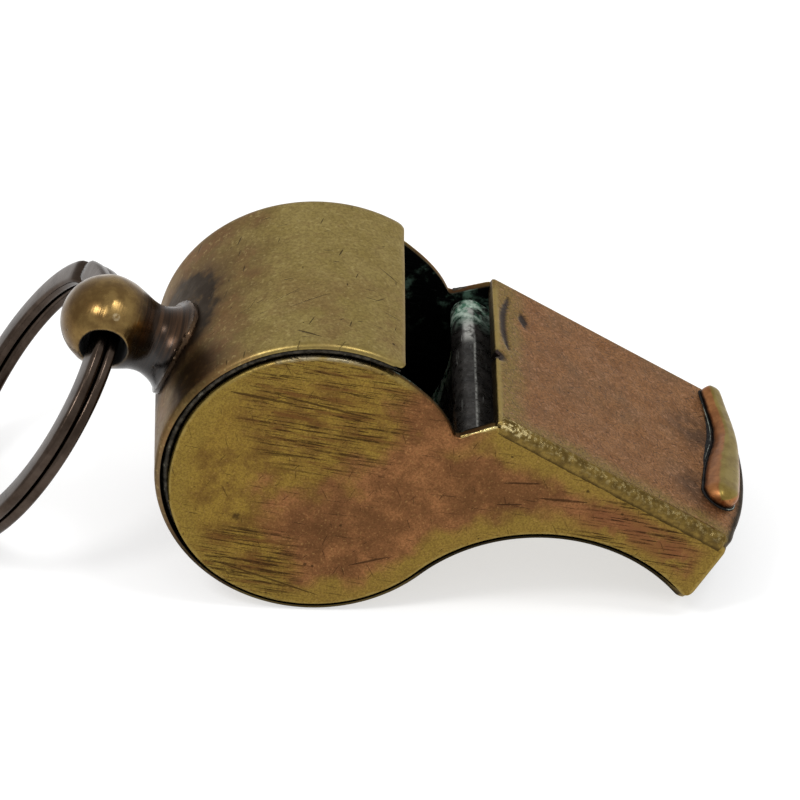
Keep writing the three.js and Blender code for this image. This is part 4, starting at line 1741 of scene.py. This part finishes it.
    def side_plate(self, side: int) -> Surface:
        """Builds a side plate inside the band's edge, with the notch at the window.

        Args:
            side: NEAR or FAR.

        Returns:
            The plate.
        """
        s = self.sizes
        throat = s.throat_radius + self.throat_edge
        corner_x = s.mouth_corner
        end = math.acos((corner_x - s.throat_x) / throat)
        upper = s.top_underside + self.plate_rise
        turn = np.linspace(s.notch(side), math.tau + s.tangent_angle, 321)[:-1]
        snug = s.barrel_radius - self.throat_edge - s.plate_radius
        radius = s.plate_radius + snug * smooth_share(turn, *self.snug_turn)
        slack = smooth_share(turn, *self.slack_turn) * (1 - smooth_share(turn, *self.slack_end))
        radius = radius - self.groove_slack * slack
        points = np.column_stack([radius * np.cos(turn), radius * np.sin(turn)]).tolist()
        notch = points[0]
        points += arc((s.throat_x, s.throat_height), throat, math.pi + s.tangent_angle, end, 110)
        tip = (corner_x, s.throat_height + throat * math.sin(end))
        points += [tip, (corner_x, upper), (s.top_start, upper)]
        outline = Outline.through(points)
        corners = ((tip, 0.8), ((s.top_start, upper), 0.25), ((corner_x, upper), 0.5), (notch, 0.25))
        for corner, reach in corners:
            outline = outline.softened(corner, reach)
        rounding = np.full(len(outline.points), self.plate_round)
        rounding[outline.points[:, 1] > upper - 0.01] = self.hidden_round
        rounding[np.hypot(*outline.points.T) > s.plate_radius + 0.1] = self.plate_round / 2
        sheet = outline.sheet(s.side_sheet, rounding, 0.24)
        a, b, depth = sheet.points.T
        dent = ripple(np.column_stack([a, b]), 9.0, 11 + side) * DENT
        inner = smooth_share(sheet.marks[Mark.RIM], 0.3, 2.0) * (depth < FACE_DEPTH)
        y = side * (s.half_width - depth - np.maximum(dent, 0) * inner)
        blend_x = corner_x - self.mouth_blend
        curved = a + (s.mouth_x(y) - corner_x) * smooth_share(a, blend_x, corner_x)
        return Surface(np.column_stack([np.where(a > blend_x, curved, a), y, b]), sheet.faces, sheet.marks)

    def windway_floor(self) -> Surface:
        """Builds the windway floor: flat under the top plate, rolled over at the window, then down the bore.

        Returns:
            The floor.
        """
        s = self.sizes
        wall = s.plate_radius - s.ramp_sheet
        nose_z = s.top_underside - s.windway_exit - s.nose_radius
        nose_x = math.sqrt((wall + s.nose_radius) ** 2 - nose_z**2)
        lean = math.atan2(nose_z, nose_x)
        fall = math.atan2(s.windway_mouth - s.windway_exit, s.mouth_reach - nose_x)
        last = s.tangent_angle - s.ramp_lap / wall
        run = s.mouth_reach - self.ramp_short - nose_x
        slide = np.array([math.cos(fall), -math.sin(fall)])
        stretch = np.linspace(run, 0, 20, endpoint=False)[:, None] * slide
        faces = []
        for nose, bore in ((s.nose_radius, wall), (s.nose_radius - s.ramp_sheet, s.plate_radius)):
            bend = arc((nose_x, nose_z), nose, math.pi / 2 - fall, math.pi + lean, 22)
            bend = np.array(bend + arc((0, 0), bore, lean, last, 50))
            faces.append(np.concatenate([bend[0] + stretch, bend]))
        loop = np.concatenate([faces[0], faces[1][::-1]])
        half = s.half_width - s.side_sheet - self.ramp_slack
        rows = np.stack([upright(loop, y) for y in np.linspace(-half, half, 60)])
        dent = (ripple(rows.reshape(-1, 3), 5.0, 9) * DENT).reshape(rows.shape[:2])
        rows += dent[..., None] * np.array([-0.7, 0, 0.5])
        rows[..., 0] = np.minimum(rows[..., 0], s.mouth_x(rows[..., 1]) - s.ramp_set_back)
        return Surface.tube(rows, {})


@dataclass
class TopPlate:
    """Flat top of the mouthpiece, from the window to the curved mouth, with a gouge and two old nicks."""

    sizes: WhistleSizes
    seam_round: float = 0.15
    seam_inset: float = 0.2
    window_round: float = 0.16
    mouth_round: float = 0.3
    mouth_corner: float = 1.0
    overhang: float = 0.42
    overhang_place: float = 0.5
    overhang_reach: float = 7.5
    gouge: tuple[Point, ...] = ((0.0, -0.25), (0.3, -0.42), (0.22, -0.75), (0.0, -0.85))
    nick_depth: float = 0.1
    nick_slope: float = 0.14
    crescent: Point = (8.85, 4.0)
    wedge: Point = (10.5, 4.4)

    def plate(self) -> Surface:
        """Builds the plate.

        Returns:
            The plate.
        """
        s = self.sizes
        half = s.half_width - self.seam_inset
        corner_x = float(s.mouth_x(np.array(half)))
        swing = math.asin(half / s.mouth_radius)
        mouth = np.array(arc((s.mouth_centre, 0), s.mouth_radius, -swing, swing, 90))
        off = (mouth[:, 1] - self.overhang_place) / self.overhang_reach
        mouth[:, 0] += self.overhang * np.clip(1 - off**2, 0, 1)
        points = [(s.top_start, half), *((s.top_start + x, y) for x, y in self.gouge), (s.top_start, -half)]
        points += [*mouth.tolist(), (corner_x, half)]
        outline = Outline.through(points).softened((corner_x, -half), self.mouth_corner)
        outline = outline.softened((corner_x, half), self.mouth_corner)
        rounding = np.full(len(outline.points), self.seam_round)
        rounding[outline.points[:, 0] < s.top_start + 0.5] = self.window_round
        rounding[outline.points[:, 0] > corner_x - 0.3] = self.mouth_round
        sheet = outline.sheet(s.top_sheet, rounding, 0.2)
        a, b, depth = sheet.points.T
        face = depth < FACE_DEPTH
        torn = smooth_share(-np.hypot(a - s.top_start - 0.2, b + 0.55), -0.75, -0.45)
        nick = np.maximum(np.maximum(self._crescent(a, b), self._wedge(a, b)) * face, torn)
        dent = np.maximum(ripple(np.column_stack([a, b]), 8.0, 5), 0) * DENT
        sunk = smooth_share(sheet.marks[Mark.RIM], 0.4, 2.0) * dent + self.nick_depth * nick
        points = np.column_stack([a, b, s.top_level - (depth + face * sunk)])
        return Surface(points, sheet.faces, sheet.marks | {Mark.NICK: nick})

    def _nick(self, width: Array, off: Array) -> Array:
        """A nick's depth share, by its half width and how far places lie off its line."""
        return (width > 0) * smooth_share(width - np.abs(off), 0.0, self.nick_slope)

    def _crescent(self, x: Array, y: Array) -> Array:
        """Draws the crescent-shaped nick beside the window.

        Args:
            x: Places along the mouthpiece.
            y: Places across the width.

        Returns:
            Its depth share.
        """
        along = y - self.crescent[1]
        line = self.crescent[0] + 0.045 * along**2 + 0.02 * along
        return self._nick(0.33 * np.clip(1 - np.abs(along / 3.5) ** 3, 0, 1) ** 0.5, x - line)

    def _wedge(self, x: Array, y: Array) -> Array:
        """Draws the small wedge-shaped nick.

        Args:
            x: Places along the mouthpiece.
            y: Places across the width.

        Returns:
            Its depth share.
        """
        share = np.clip((6.6 - y) / 2.2, 0, 1) * (y > self.wedge[1])
        return self._nick(0.44 * np.sin(np.pi * share) ** 1.3, x - self.wedge[0] - 0.12 * (6.0 - y))


@dataclass
class ToothBead:
    """Half-round bar on the top plate along the mouth's curve, narrower and lower at its far end."""

    sizes: WhistleSizes
    width: float = 2.48
    narrowing: float = 1.05
    height: float = 0.95
    square: float = 0.62
    waist: float = 0.45
    waist_place: float = 3.2
    waist_reach: float = 2.8
    fall: float = 0.4
    span: float = 13.9
    off_centre: float = 1.75
    slant: float = 0.42
    rim: float = 0.56
    sink: float = 0.3
    end_height: float = 0.35

    def foot(self) -> tuple[Array, Array, Array, Array]:
        """Finds where the bead stands on the top plate.

        Returns:
            Angles about the centre of the mouth's curve, how far the rounded ends have grown at each, and
            how far the window side and the mouth side lie from that centre.
        """
        edge = self.sizes.mouth_radius - self.rim
        middle = edge - self.width / 2
        first, last = (math.asin((self.off_centre + way * self.span / 2) / middle) for way in (-1, 1))
        turn = first + (last - first) * (1 - np.cos(np.linspace(0.04, math.pi - 0.04, 90))) / 2
        y = middle * np.sin(turn)
        width = self.width - self.narrowing * smooth_share(y, -3.0, 8.5)
        width -= self.waist * np.exp(-(((y - self.waist_place) / self.waist_reach) ** 2))
        spine = edge - width / 2
        from_end = np.minimum(np.minimum(turn - first, last - turn) * middle / width * 2, 1)
        grown = np.maximum(np.sqrt(1 - (1 - from_end) ** 2), 0.03)
        return turn, grown, spine - width / 2 * grown, spine + width / 2 * grown

    def bar(self) -> Surface:
        """Builds the bar, lower towards its far end.

        Returns:
            The bar.
        """
        s = self.sizes
        sweep = np.linspace(0, math.pi, 37)
        side = np.sign(np.cos(sweep)) * np.abs(np.cos(sweep)) ** self.square
        height = np.sin(sweep) ** self.square
        lean = self.slant * np.clip(height, 0, 1) * np.clip(-side, 0, 1)
        across = np.concatenate([side + lean, side[::-1]])
        up = np.concatenate([self.height * height, np.full(len(side), -self.sink)])
        rows = []
        for turn, grown, inner, outer in zip(*self.foot()):
            reach = (inner + outer) / 2 + across * (outer - inner) / 2
            low = 1 - self.fall * float(smooth_share(np.array(reach.mean() * math.sin(turn)), 1.5, 7.5))
            share = (self.end_height + (1 - self.end_height) * grown) * low
            lift = s.top_level + s.solder_gap + up * np.where(up > 0, share, 1)
            x = s.mouth_centre + reach * math.cos(turn)
            rows.append(np.column_stack([x, reach * math.sin(turn), lift]))
        crown = np.tile(np.concatenate([height, np.zeros(len(side))]), len(rows))
        return Surface.tube(np.stack(rows), {Mark.RIM: crown})


@dataclass
class RingStud:
    """Turned stud on the barrel's back, draped over its round and drilled for the ring."""

    sizes: WhistleSizes
    ball_radius: float = 3.2
    ball_reach: float = 4.85
    neck_radius: float = 2.3
    foot_radius: float = 3.4
    foot_rim: float = 0.34
    hole_radius: float = 1.6
    hole_drop: float = 0.5
    blend: float = 1.3
    flare_blend: float = 0.2
    seat: float = 0.05
    hole_blend: float = 0.16
    low: Place = (-4.0, -4.0, 9.8)
    high: Place = (4.0, 4.0, 19.4)

    @property
    def ball_z(self) -> float:
        """From the barrel's axis to the ball's centre."""
        return self.sizes.barrel_radius + self.ball_reach

    def bore(self, x: Array, z: Array) -> Array:
        """How far places lie from the hole's axis."""
        return np.hypot(x + self.hole_drop, z - self.ball_z)

    def depth(self, points: Array) -> Array:
        """Gives the stud as a field that is negative inside it, with Z along its axis from the barrel's axis.

        Args:
            points: Places in millimetres.

        Returns:
            The field at each place.
        """
        x, y, z = points.T
        radius = self.sizes.barrel_radius
        foot_z = radius + self.foot_rim
        neck_z = self.ball_z - math.sqrt(self.ball_radius**2 - self.neck_radius**2)
        drop = radius - np.sqrt(radius**2 - np.clip(x, -8, 8) ** 2)
        lowered = z + np.clip((neck_z - z) / (neck_z - foot_z), 0, 1) * drop
        rise = np.clip((lowered - foot_z) / (neck_z - foot_z), 0, 1)
        girth = self.foot_radius - (self.foot_radius - self.neck_radius) * np.sqrt(1 - (1 - rise) ** 2)
        flare = blend_max(np.hypot(x, y) - girth, lowered - self.ball_z, self.flare_blend)
        ball = np.sqrt(x**2 + y**2 + (z - self.ball_z) ** 2) - self.ball_radius
        solid = blend_min(flare, ball, self.blend)
        solid = blend_max(solid, radius - self.seat - np.hypot(x, z), self.seat)
        return blend_max(solid, self.hole_radius - self.bore(x, z), self.hole_blend)

    def stud(self) -> Surface:
        """Builds the stud's skin, turned to its place on the barrel.

        Returns:
            The skin.
        """
        skin = polygonise(self.depth, self.low, self.high, 0.09)
        x, _, z = skin.points.T
        # Painted shade inside the hole for the ring.
        soot = smooth_share(self.bore(x, z), self.hole_radius + 0.12, self.hole_radius + 0.02)
        skin.marks[Mark.SOOT] = soot
        return skin.moved(Matrix.Rotation(math.pi / 2 - self.sizes.stud_angle, 4, "Y"))


@dataclass
class SplitRing:
    """One flattened wire in two turns, hanging in the stud, which crosses from turn to turn at its jog."""

    radius: float = 9.85
    hang: float = 9.316
    lean: float = math.radians(12)
    twist: float = math.radians(2)
    swing: float = math.radians(32.9952)
    jog_angle: float = math.radians(7)
    jog_place: float = math.radians(53.3)
    end_gap: float = math.radians(0.4)
    wire_width: float = 1.7
    wire_thickness: float = 0.86
    layer_offset: float = 0.44

    @property
    def turns(self) -> float:
        """How many turns the wire makes."""
        return 2 - 2 * (self.jog_angle / 2 + self.end_gap) / math.tau

    @property
    def values(self) -> Feeds:
        """Values for the tree that winds the wire about the Z axis."""
        return {
            "Radius": self.radius,
            "Turns": self.turns,
            "Layer Offset": self.layer_offset,
            "Jog Share": self.jog_angle / (self.turns * math.tau),
            "Wire Width": self.wire_width,
            "Wire Thickness": self.wire_thickness,
        }

    def matrix(self, stance: Stance) -> Matrix:
        """Gives the way from the wound wire's millimetres to its place in the stud.

        Args:
            stance: Where the whistle stands.

        Returns:
            The matrix.
        """
        start = self.jog_place + self.turns * math.pi
        c, s = math.cos(start), math.sin(start)
        wind = Matrix(((0, 0, 1, 0), (s, -c, 0, 0), (c, s, 0, -self.hang), (0, 0, 0, 1)))
        lean = Matrix.Rotation(self.lean, 4, "X") @ Matrix.Rotation(self.twist, 4, "Z")
        hang = Matrix.Translation(stance.hinge) @ Matrix.Rotation(self.swing, 4, "Y")
        return hang @ Matrix.Scale(MM, 4) @ lean @ wind


@dataclass
class Pea:
    """Cork pea that rolls in the barrel."""

    radius: float = 6.0

    def ball(self) -> Surface:
        """Builds a cut cork ball, a little uneven.

        Returns:
            The ball, about the origin.
        """
        work = bmesh.new()
        bmesh.ops.create_icosphere(work, subdivisions=5, radius=1.0)
        work.verts.ensure_lookup_table()
        unit = np.array([v.co for v in work.verts], float)
        faces = [[v.index for v in f.verts] for f in work.faces]
        work.free()
        rough = np.minimum(ripple(unit, 0.5, 2) * 0.06 + ripple(unit, 0.16, 6) * 0.05 - 0.04, 0)
        return Surface(unit * (self.radius + rough)[:, None], faces)


@dataclass
class SolderWork:
    """Solder and grime along the joints of the body."""

    sizes: WhistleSizes
    bead: ToothBead
    groove_depth: float = 0.5
    seam_fall: float = 0.1

    def groove(self, side: int) -> Array:
        """Follows the middle of the groove between a side plate and the band, from the lip to the mouth.

        Args:
            side: NEAR or FAR.

        Returns:
            The line's points.
        """
        s = self.sizes
        throat = s.throat_radius + s.band_sheet + s.solder_gap / 2
        end = math.acos((s.mouth_corner - 0.3 - s.throat_x) / throat)
        flat = arc((0, 0), s.plate_radius + s.solder_gap / 2, s.lip_angle, math.tau + s.tangent_angle, 150)
        flat += arc((s.throat_x, s.throat_height), throat, math.pi + s.tangent_angle, end, 50)
        return upright(np.array(flat), side * (s.half_width - self.groove_depth))

    def top_seam(self, side: int, inset: float, drop: float) -> Array:
        """Follows the joint between the top plate and a side plate.

        Args:
            side: NEAR or FAR.
            inset: How far the line lies inside the plate's face.
            drop: How far it lies below the mouthpiece's top, at the window.

        Returns:
            The line's points, which sink a little towards the mouth.
        """
        s = self.sizes
        x = np.linspace(s.top_start + 0.05, s.mouth_corner - 0.15, 60)
        z = np.linspace(s.top_level - drop, s.top_level - drop - self.seam_fall, 60)
        return upright(np.column_stack([x, z]), side * (s.half_width - inset))

    def step_seam(self, side: int, inset: float, lift: float) -> Array:
        """Follows the joint at the notch, where a side plate meets the windway floor.

        Args:
            side: NEAR or FAR.
            inset: How far the line lies inside the plate's face.
            lift: How far it lies above the joint.

        Returns:
            The line's points.
        """
        s = self.sizes
        notch = s.notch(side)
        start = s.plate_radius * np.array([math.cos(notch), math.sin(notch)]) + (0.2, 0.06 + lift)
        end = np.array([s.top_start + 0.15, s.top_underside + 0.05 + 1.7 * lift])
        flat = start + (end - start) * np.linspace(0, 1, 16)[:, None]
        return upright(flat, side * (s.half_width - inset))

    def bead_seam(self, out: float, lift: float) -> Array:
        """Follows the joint round the tooth bead: along its window side, its near end, then its mouth side.

        Args:
            out: How far the line lies outside the bead's foot.
            lift: How far it lies above the mouthpiece's top.

        Returns:
            The line's points.
        """
        s = self.sizes
        turn, _, inner, outer = self.bead.foot()
        reach = np.concatenate([inner[::-1] - out, outer + out])
        turn = np.concatenate([turn[::-1], turn])
        x = s.mouth_centre + reach * np.cos(turn)
        return np.column_stack([x, reach * np.sin(turn), np.full(len(turn), s.top_level + lift)])

    @staticmethod
    def path(points: Array) -> Mesh:
        """Makes a mesh of edges along points.

        Args:
            points: The points.

        Returns:
            The mesh.
        """
        mesh = bpy.data.meshes.new("solder_path")
        mesh.from_pydata(points.tolist(), [(i, i + 1) for i in range(len(points) - 1)], [])
        return mesh


@dataclass(frozen=True)
class Camera:
    """The photograph's view: a long lens that looks down on the whistle's near side.

    Attributes:
        elevation: Angle of the view above the floor.
        roll: Turn of the picture about the view's axis.
        heading: Turn of the standing whistle in the picture.
        distance: From the camera to the barrel's axis, in metres.
        aim_right: Picture centre to the right of the barrel's axis, in metres.
        aim_up: Picture centre above it, in metres.
        lens: Focal length in millimetres.
        sensor: Width of the sensor in millimetres.
        nearest: Nearest distance that shows, in metres.
    """

    elevation: float = math.radians(33.859)
    roll: float = math.radians(-0.578)
    heading: float = math.radians(32.85)
    distance: float = 0.6
    aim_right: float = 0.005936
    aim_up: float = 0.000259
    lens: float = 390.06
    sensor: float = 36.0
    nearest: float = 0.01

    def axes(self, stance: Stance) -> tuple[Vector, Vector, Vector]:
        """Gives the picture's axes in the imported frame.

        Args:
            stance: Where the whistle stands.

        Returns:
            The picture's right, its up, and the way to the camera.
        """
        right = Vector((1, 0, 0))
        up = Vector((0, math.sin(self.elevation), math.cos(self.elevation)))
        toward = Vector((0, -math.cos(self.elevation), math.sin(self.elevation)))
        c, s = math.cos(self.roll), math.sin(self.roll)
        turn = Matrix.Rotation(stance.tilt - self.heading, 3, "Y")
        return turn @ (right * c + up * s), turn @ (up * c - right * s), turn @ toward

    def build(self, stance: Stance) -> None:
        """Puts the camera in the scene.

        Args:
            stance: Where the whistle stands.
        """
        right, up, toward = self.axes(stance)
        place = stance.axis + self.distance * toward
        aim = stance.axis + self.aim_right * right + self.aim_up * up
        back = (place - aim).normalized()
        side = up.cross(back).normalized()
        level = back.cross(side)
        data = bpy.data.cameras.new("camera")
        data.lens = self.lens
        data.sensor_width = self.sensor
        data.clip_start = self.nearest
        camera = bpy.data.objects.new("camera", data)
        basis = Matrix((side, level, back)).transposed().to_4x4()
        camera.matrix_world = Matrix.Translation(place) @ basis
        bpy.context.scene.collection.objects.link(camera)
        bpy.context.scene.camera = camera


@dataclass(frozen=True)
class Lamp:
    """A soft square lamp.

    Attributes:
        name: Its name.
        way: Direction from the whistle in the picture's right, up and towards the camera.
        distance: From the whistle, in metres.
        size: Length of its side, in metres.
        power: In watts.
    """

    name: str
    way: Place
    distance: float
    size: float
    power: float

    def build(self, axes: tuple[Vector, Vector, Vector], middle: Vector) -> None:
        """Puts the lamp in the scene.

        Args:
            axes: The picture's axes.
            middle: What the lamp shines on.
        """
        data = bpy.data.lights.new(self.name, "AREA")
        data.size = self.size
        data.energy = self.power
        lamp = bpy.data.objects.new(self.name, data)
        toward = sum((axis * share for axis, share in zip(axes, self.way)), Vector()).normalized()
        lamp.location = middle + toward * self.distance
        lamp.rotation_euler = toward.to_track_quat("Z", "Y").to_euler()
        bpy.context.scene.collection.objects.link(lamp)


@dataclass(frozen=True)
class Studio:
    """Pale floor, white surroundings and two soft lamps, in metres."""

    sky: float = 0.8
    floor_reach: float = 2.0
    floor_grey: float = 0.5
    floor_glow: float = 0.6
    lamps: tuple[Lamp, ...] = (
        Lamp("lamp_left", (-0.41, 0.454, 0.79), 0.5, 0.11, 0.7),
        Lamp("lamp_right", (0.38, 0.62, 0.69), 0.5, 0.1, 0.45),
    )

    def build(self, camera: Camera, stance: Stance) -> None:
        """Puts floor, world and lamps in the scene.

        Args:
            camera: The view that the lamps are set by.
            stance: Where the whistle stands.
        """
        scene = bpy.context.scene
        scene.view_settings.view_transform = "Standard"
        world = bpy.data.worlds.new("tent")
        world.use_nodes = True
        scene.world = world
        sky = world.node_tree.nodes["Background"]
        sky.inputs["Color"].default_value = WHITE
        sky.inputs["Strength"].default_value = self.sky
        self._floor()
        for lamp in self.lamps:
            lamp.build(camera.axes(stance), stance.axis)

    def _floor(self) -> None:
        """Puts in a wide pale floor, white to the camera and to polished metal."""
        mesh = bpy.data.meshes.new("floor")
        reach = self.floor_reach
        corners = [(-reach, -reach, 0), (reach, -reach, 0), (reach, reach, 0), (-reach, reach, 0)]
        mesh.from_pydata(corners, [], [(0, 1, 2, 3)])
        floor = bpy.data.objects.new("floor", mesh)
        bpy.context.scene.collection.objects.link(floor)
        material = bpy.data.materials.new("floor_paper")
        material.use_nodes = True
        bench = Bench(material.node_tree)
        shader = material.node_tree.nodes["Principled BSDF"]
        rays = bench.add("ShaderNodeLightPath").outputs
        shown = [bench.socket(rays, f"Is {ray} Ray") for ray in ("Camera", "Glossy", "Transmission")]
        feeds = {
            "Base Color": (self.floor_grey, self.floor_grey, self.floor_grey, 1.0),
            "Roughness": 0.9,
            "Specular IOR Level": 0.0,
            "Emission Color": WHITE,
            "Emission Strength": bench.times(bench.most(*shown), self.floor_glow),
        }
        for key, feed in feeds.items():
            bench.feed(bench.socket(shader.inputs, key), feed)
        mesh.materials.append(material)


def main() -> None:
    """Builds the whistle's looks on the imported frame."""
    logging.basicConfig(level=logging.INFO, format="%(name)s: %(message)s", force=True)
    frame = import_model()
    sizes = WhistleSizes()
    places = {joint["name"]: Vector(joint["pos_m"]) for joint in frame["joints"]}
    stance = Stance(places["pea_round"], places["ring_swing"], sizes.rest_tilt)
    camera = Camera()
    camera.build(stance)
    trees = NodeTrees()
    shop = Workshop(stance)
    chamber = Chamber(sizes)
    bead = ToothBead(sizes)

    pieces = (
        (Label("barrel", BandBrass, Slot.BAND, "barrel_band"), chamber.band()),
        (Label("near_plate", PlateBrass, Slot.PLATE, "near_side_plate"), chamber.side_plate(NEAR)),
        (Label("far_plate", PlateBrass, Slot.PLATE, "far_side_plate"), chamber.side_plate(FAR)),
        (Label("top_plate", TopBrass, Slot.TOP, "mouthpiece_top"), TopPlate(sizes).plate()),
        (Label("windway", WindwayBrass, Slot.WINDWAY, "windway_floor"), chamber.windway_floor()),
        (Label("bead", BeadBrass, Slot.BEAD, "tooth_bead"), bead.bar()),
        (Label("stud", StudBrass, Slot.STUD, "ring_stud"), RingStud(sizes).stud()),
    )
    for label, surface in pieces:
        shop.piece(label, surface)

    label = Label("ring_wire", RingMetal, Slot.RING, "split_ring", Body.RING)
    ring = SplitRing()
    wire = shop.grow(label, trees.split_ring, bpy.data.meshes.new("ring_base"), ring.values)
    shop.mount(label, wire, ring.matrix(stance))

    low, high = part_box("pea")
    middle = stance.matrix.inverted() @ ((low + high) / 2)
    cork = Pea().ball().moved(Matrix.Translation(middle))
    shop.piece(Label("cork_pea", Cork, Slot.PEA, "pea", Body.PEA), cork)

    work = SolderWork(sizes, bead)
    groove = {"Bead Radius": 0.24, "Lumps": 0.15}
    near_seam = {"Bead Radius": 0.74, "Lumps": 0.05, "Lump Length": 0.8, "Grain": 0.016, "Seed": 4}
    far_seam = {"Bead Radius": 0.36, "Lumps": 0.1, "Grain": 0.02, "Seed": 5}
    near_step = {"Bead Radius": 0.1, "Lumps": 0.9, "Lump Length": 0.4, "Seed": 6}
    far_step = {"Bead Radius": 0.2, "Lumps": 0.7, "Seed": 7}
    bead_seam = {"Bead Radius": 0.1, "Lumps": 0.5, "Seed": 8}
    bead_gap = {"Bead Radius": 0.34, "Lumps": 0.2, "End Share": 0.5, "Seed": 10}
    bead_solder = {"Bead Radius": 0.045, "Lumps": 0.9, "End Share": 0.2, "Seed": 9}
    bead_thread = {"Bead Radius": 0.055, "Lumps": 0.8, "End Share": 0.2, "Seed": 11}
    runs = (
        (Label("near_groove", Grime, Slot.BAND), work.groove(NEAR), groove | {"Seed": 2}),
        (Label("far_groove", Grime, Slot.BAND), work.groove(FAR), groove | {"Seed": 3}),
        (Label("near_seam", SeamBrass, Slot.TOP), work.top_seam(NEAR, 0.66, 0.52), near_seam),
        (Label("far_seam", SeamBrass, Slot.TOP), work.top_seam(FAR, 0.33, 0.42), far_seam),
        (Label("near_step", Solder, Slot.TOP), work.step_seam(NEAR, 0.14, 0.16), near_step),
        (Label("far_step", Grime, Slot.TOP), work.step_seam(FAR, 0.22, 0.0), far_step),
        # bead_seam and bead_gap lay black painted shade round the tooth bead's foot and in the crack beside
        # it.
        (Label("bead_seam", CrackShade, Slot.BEAD), work.bead_seam(0.04, 0.0), bead_seam),
        (Label("bead_gap", CrackShade, Slot.BEAD), work.bead_seam(0.16, -0.18)[9:70], bead_gap),
        # bead_solder and bead_thread are pale solder threads, made pale as a painted highlight.
        (Label("bead_solder", PaleSolderHighlight, Slot.BEAD), work.bead_seam(0.22, 0.12)[20:54], bead_solder),
        (Label("bead_thread", PaleSolderHighlight, Slot.BEAD), work.bead_seam(0.06, 0.06)[80:165], bead_thread),
    )
    for label, points, values in runs:
        run = shop.grow(label, trees.solder_run, work.path(points), values)
        shop.mount(label, run, stance.matrix)

    Studio().build(camera, stance)


if __name__ == "__main__":
    main()
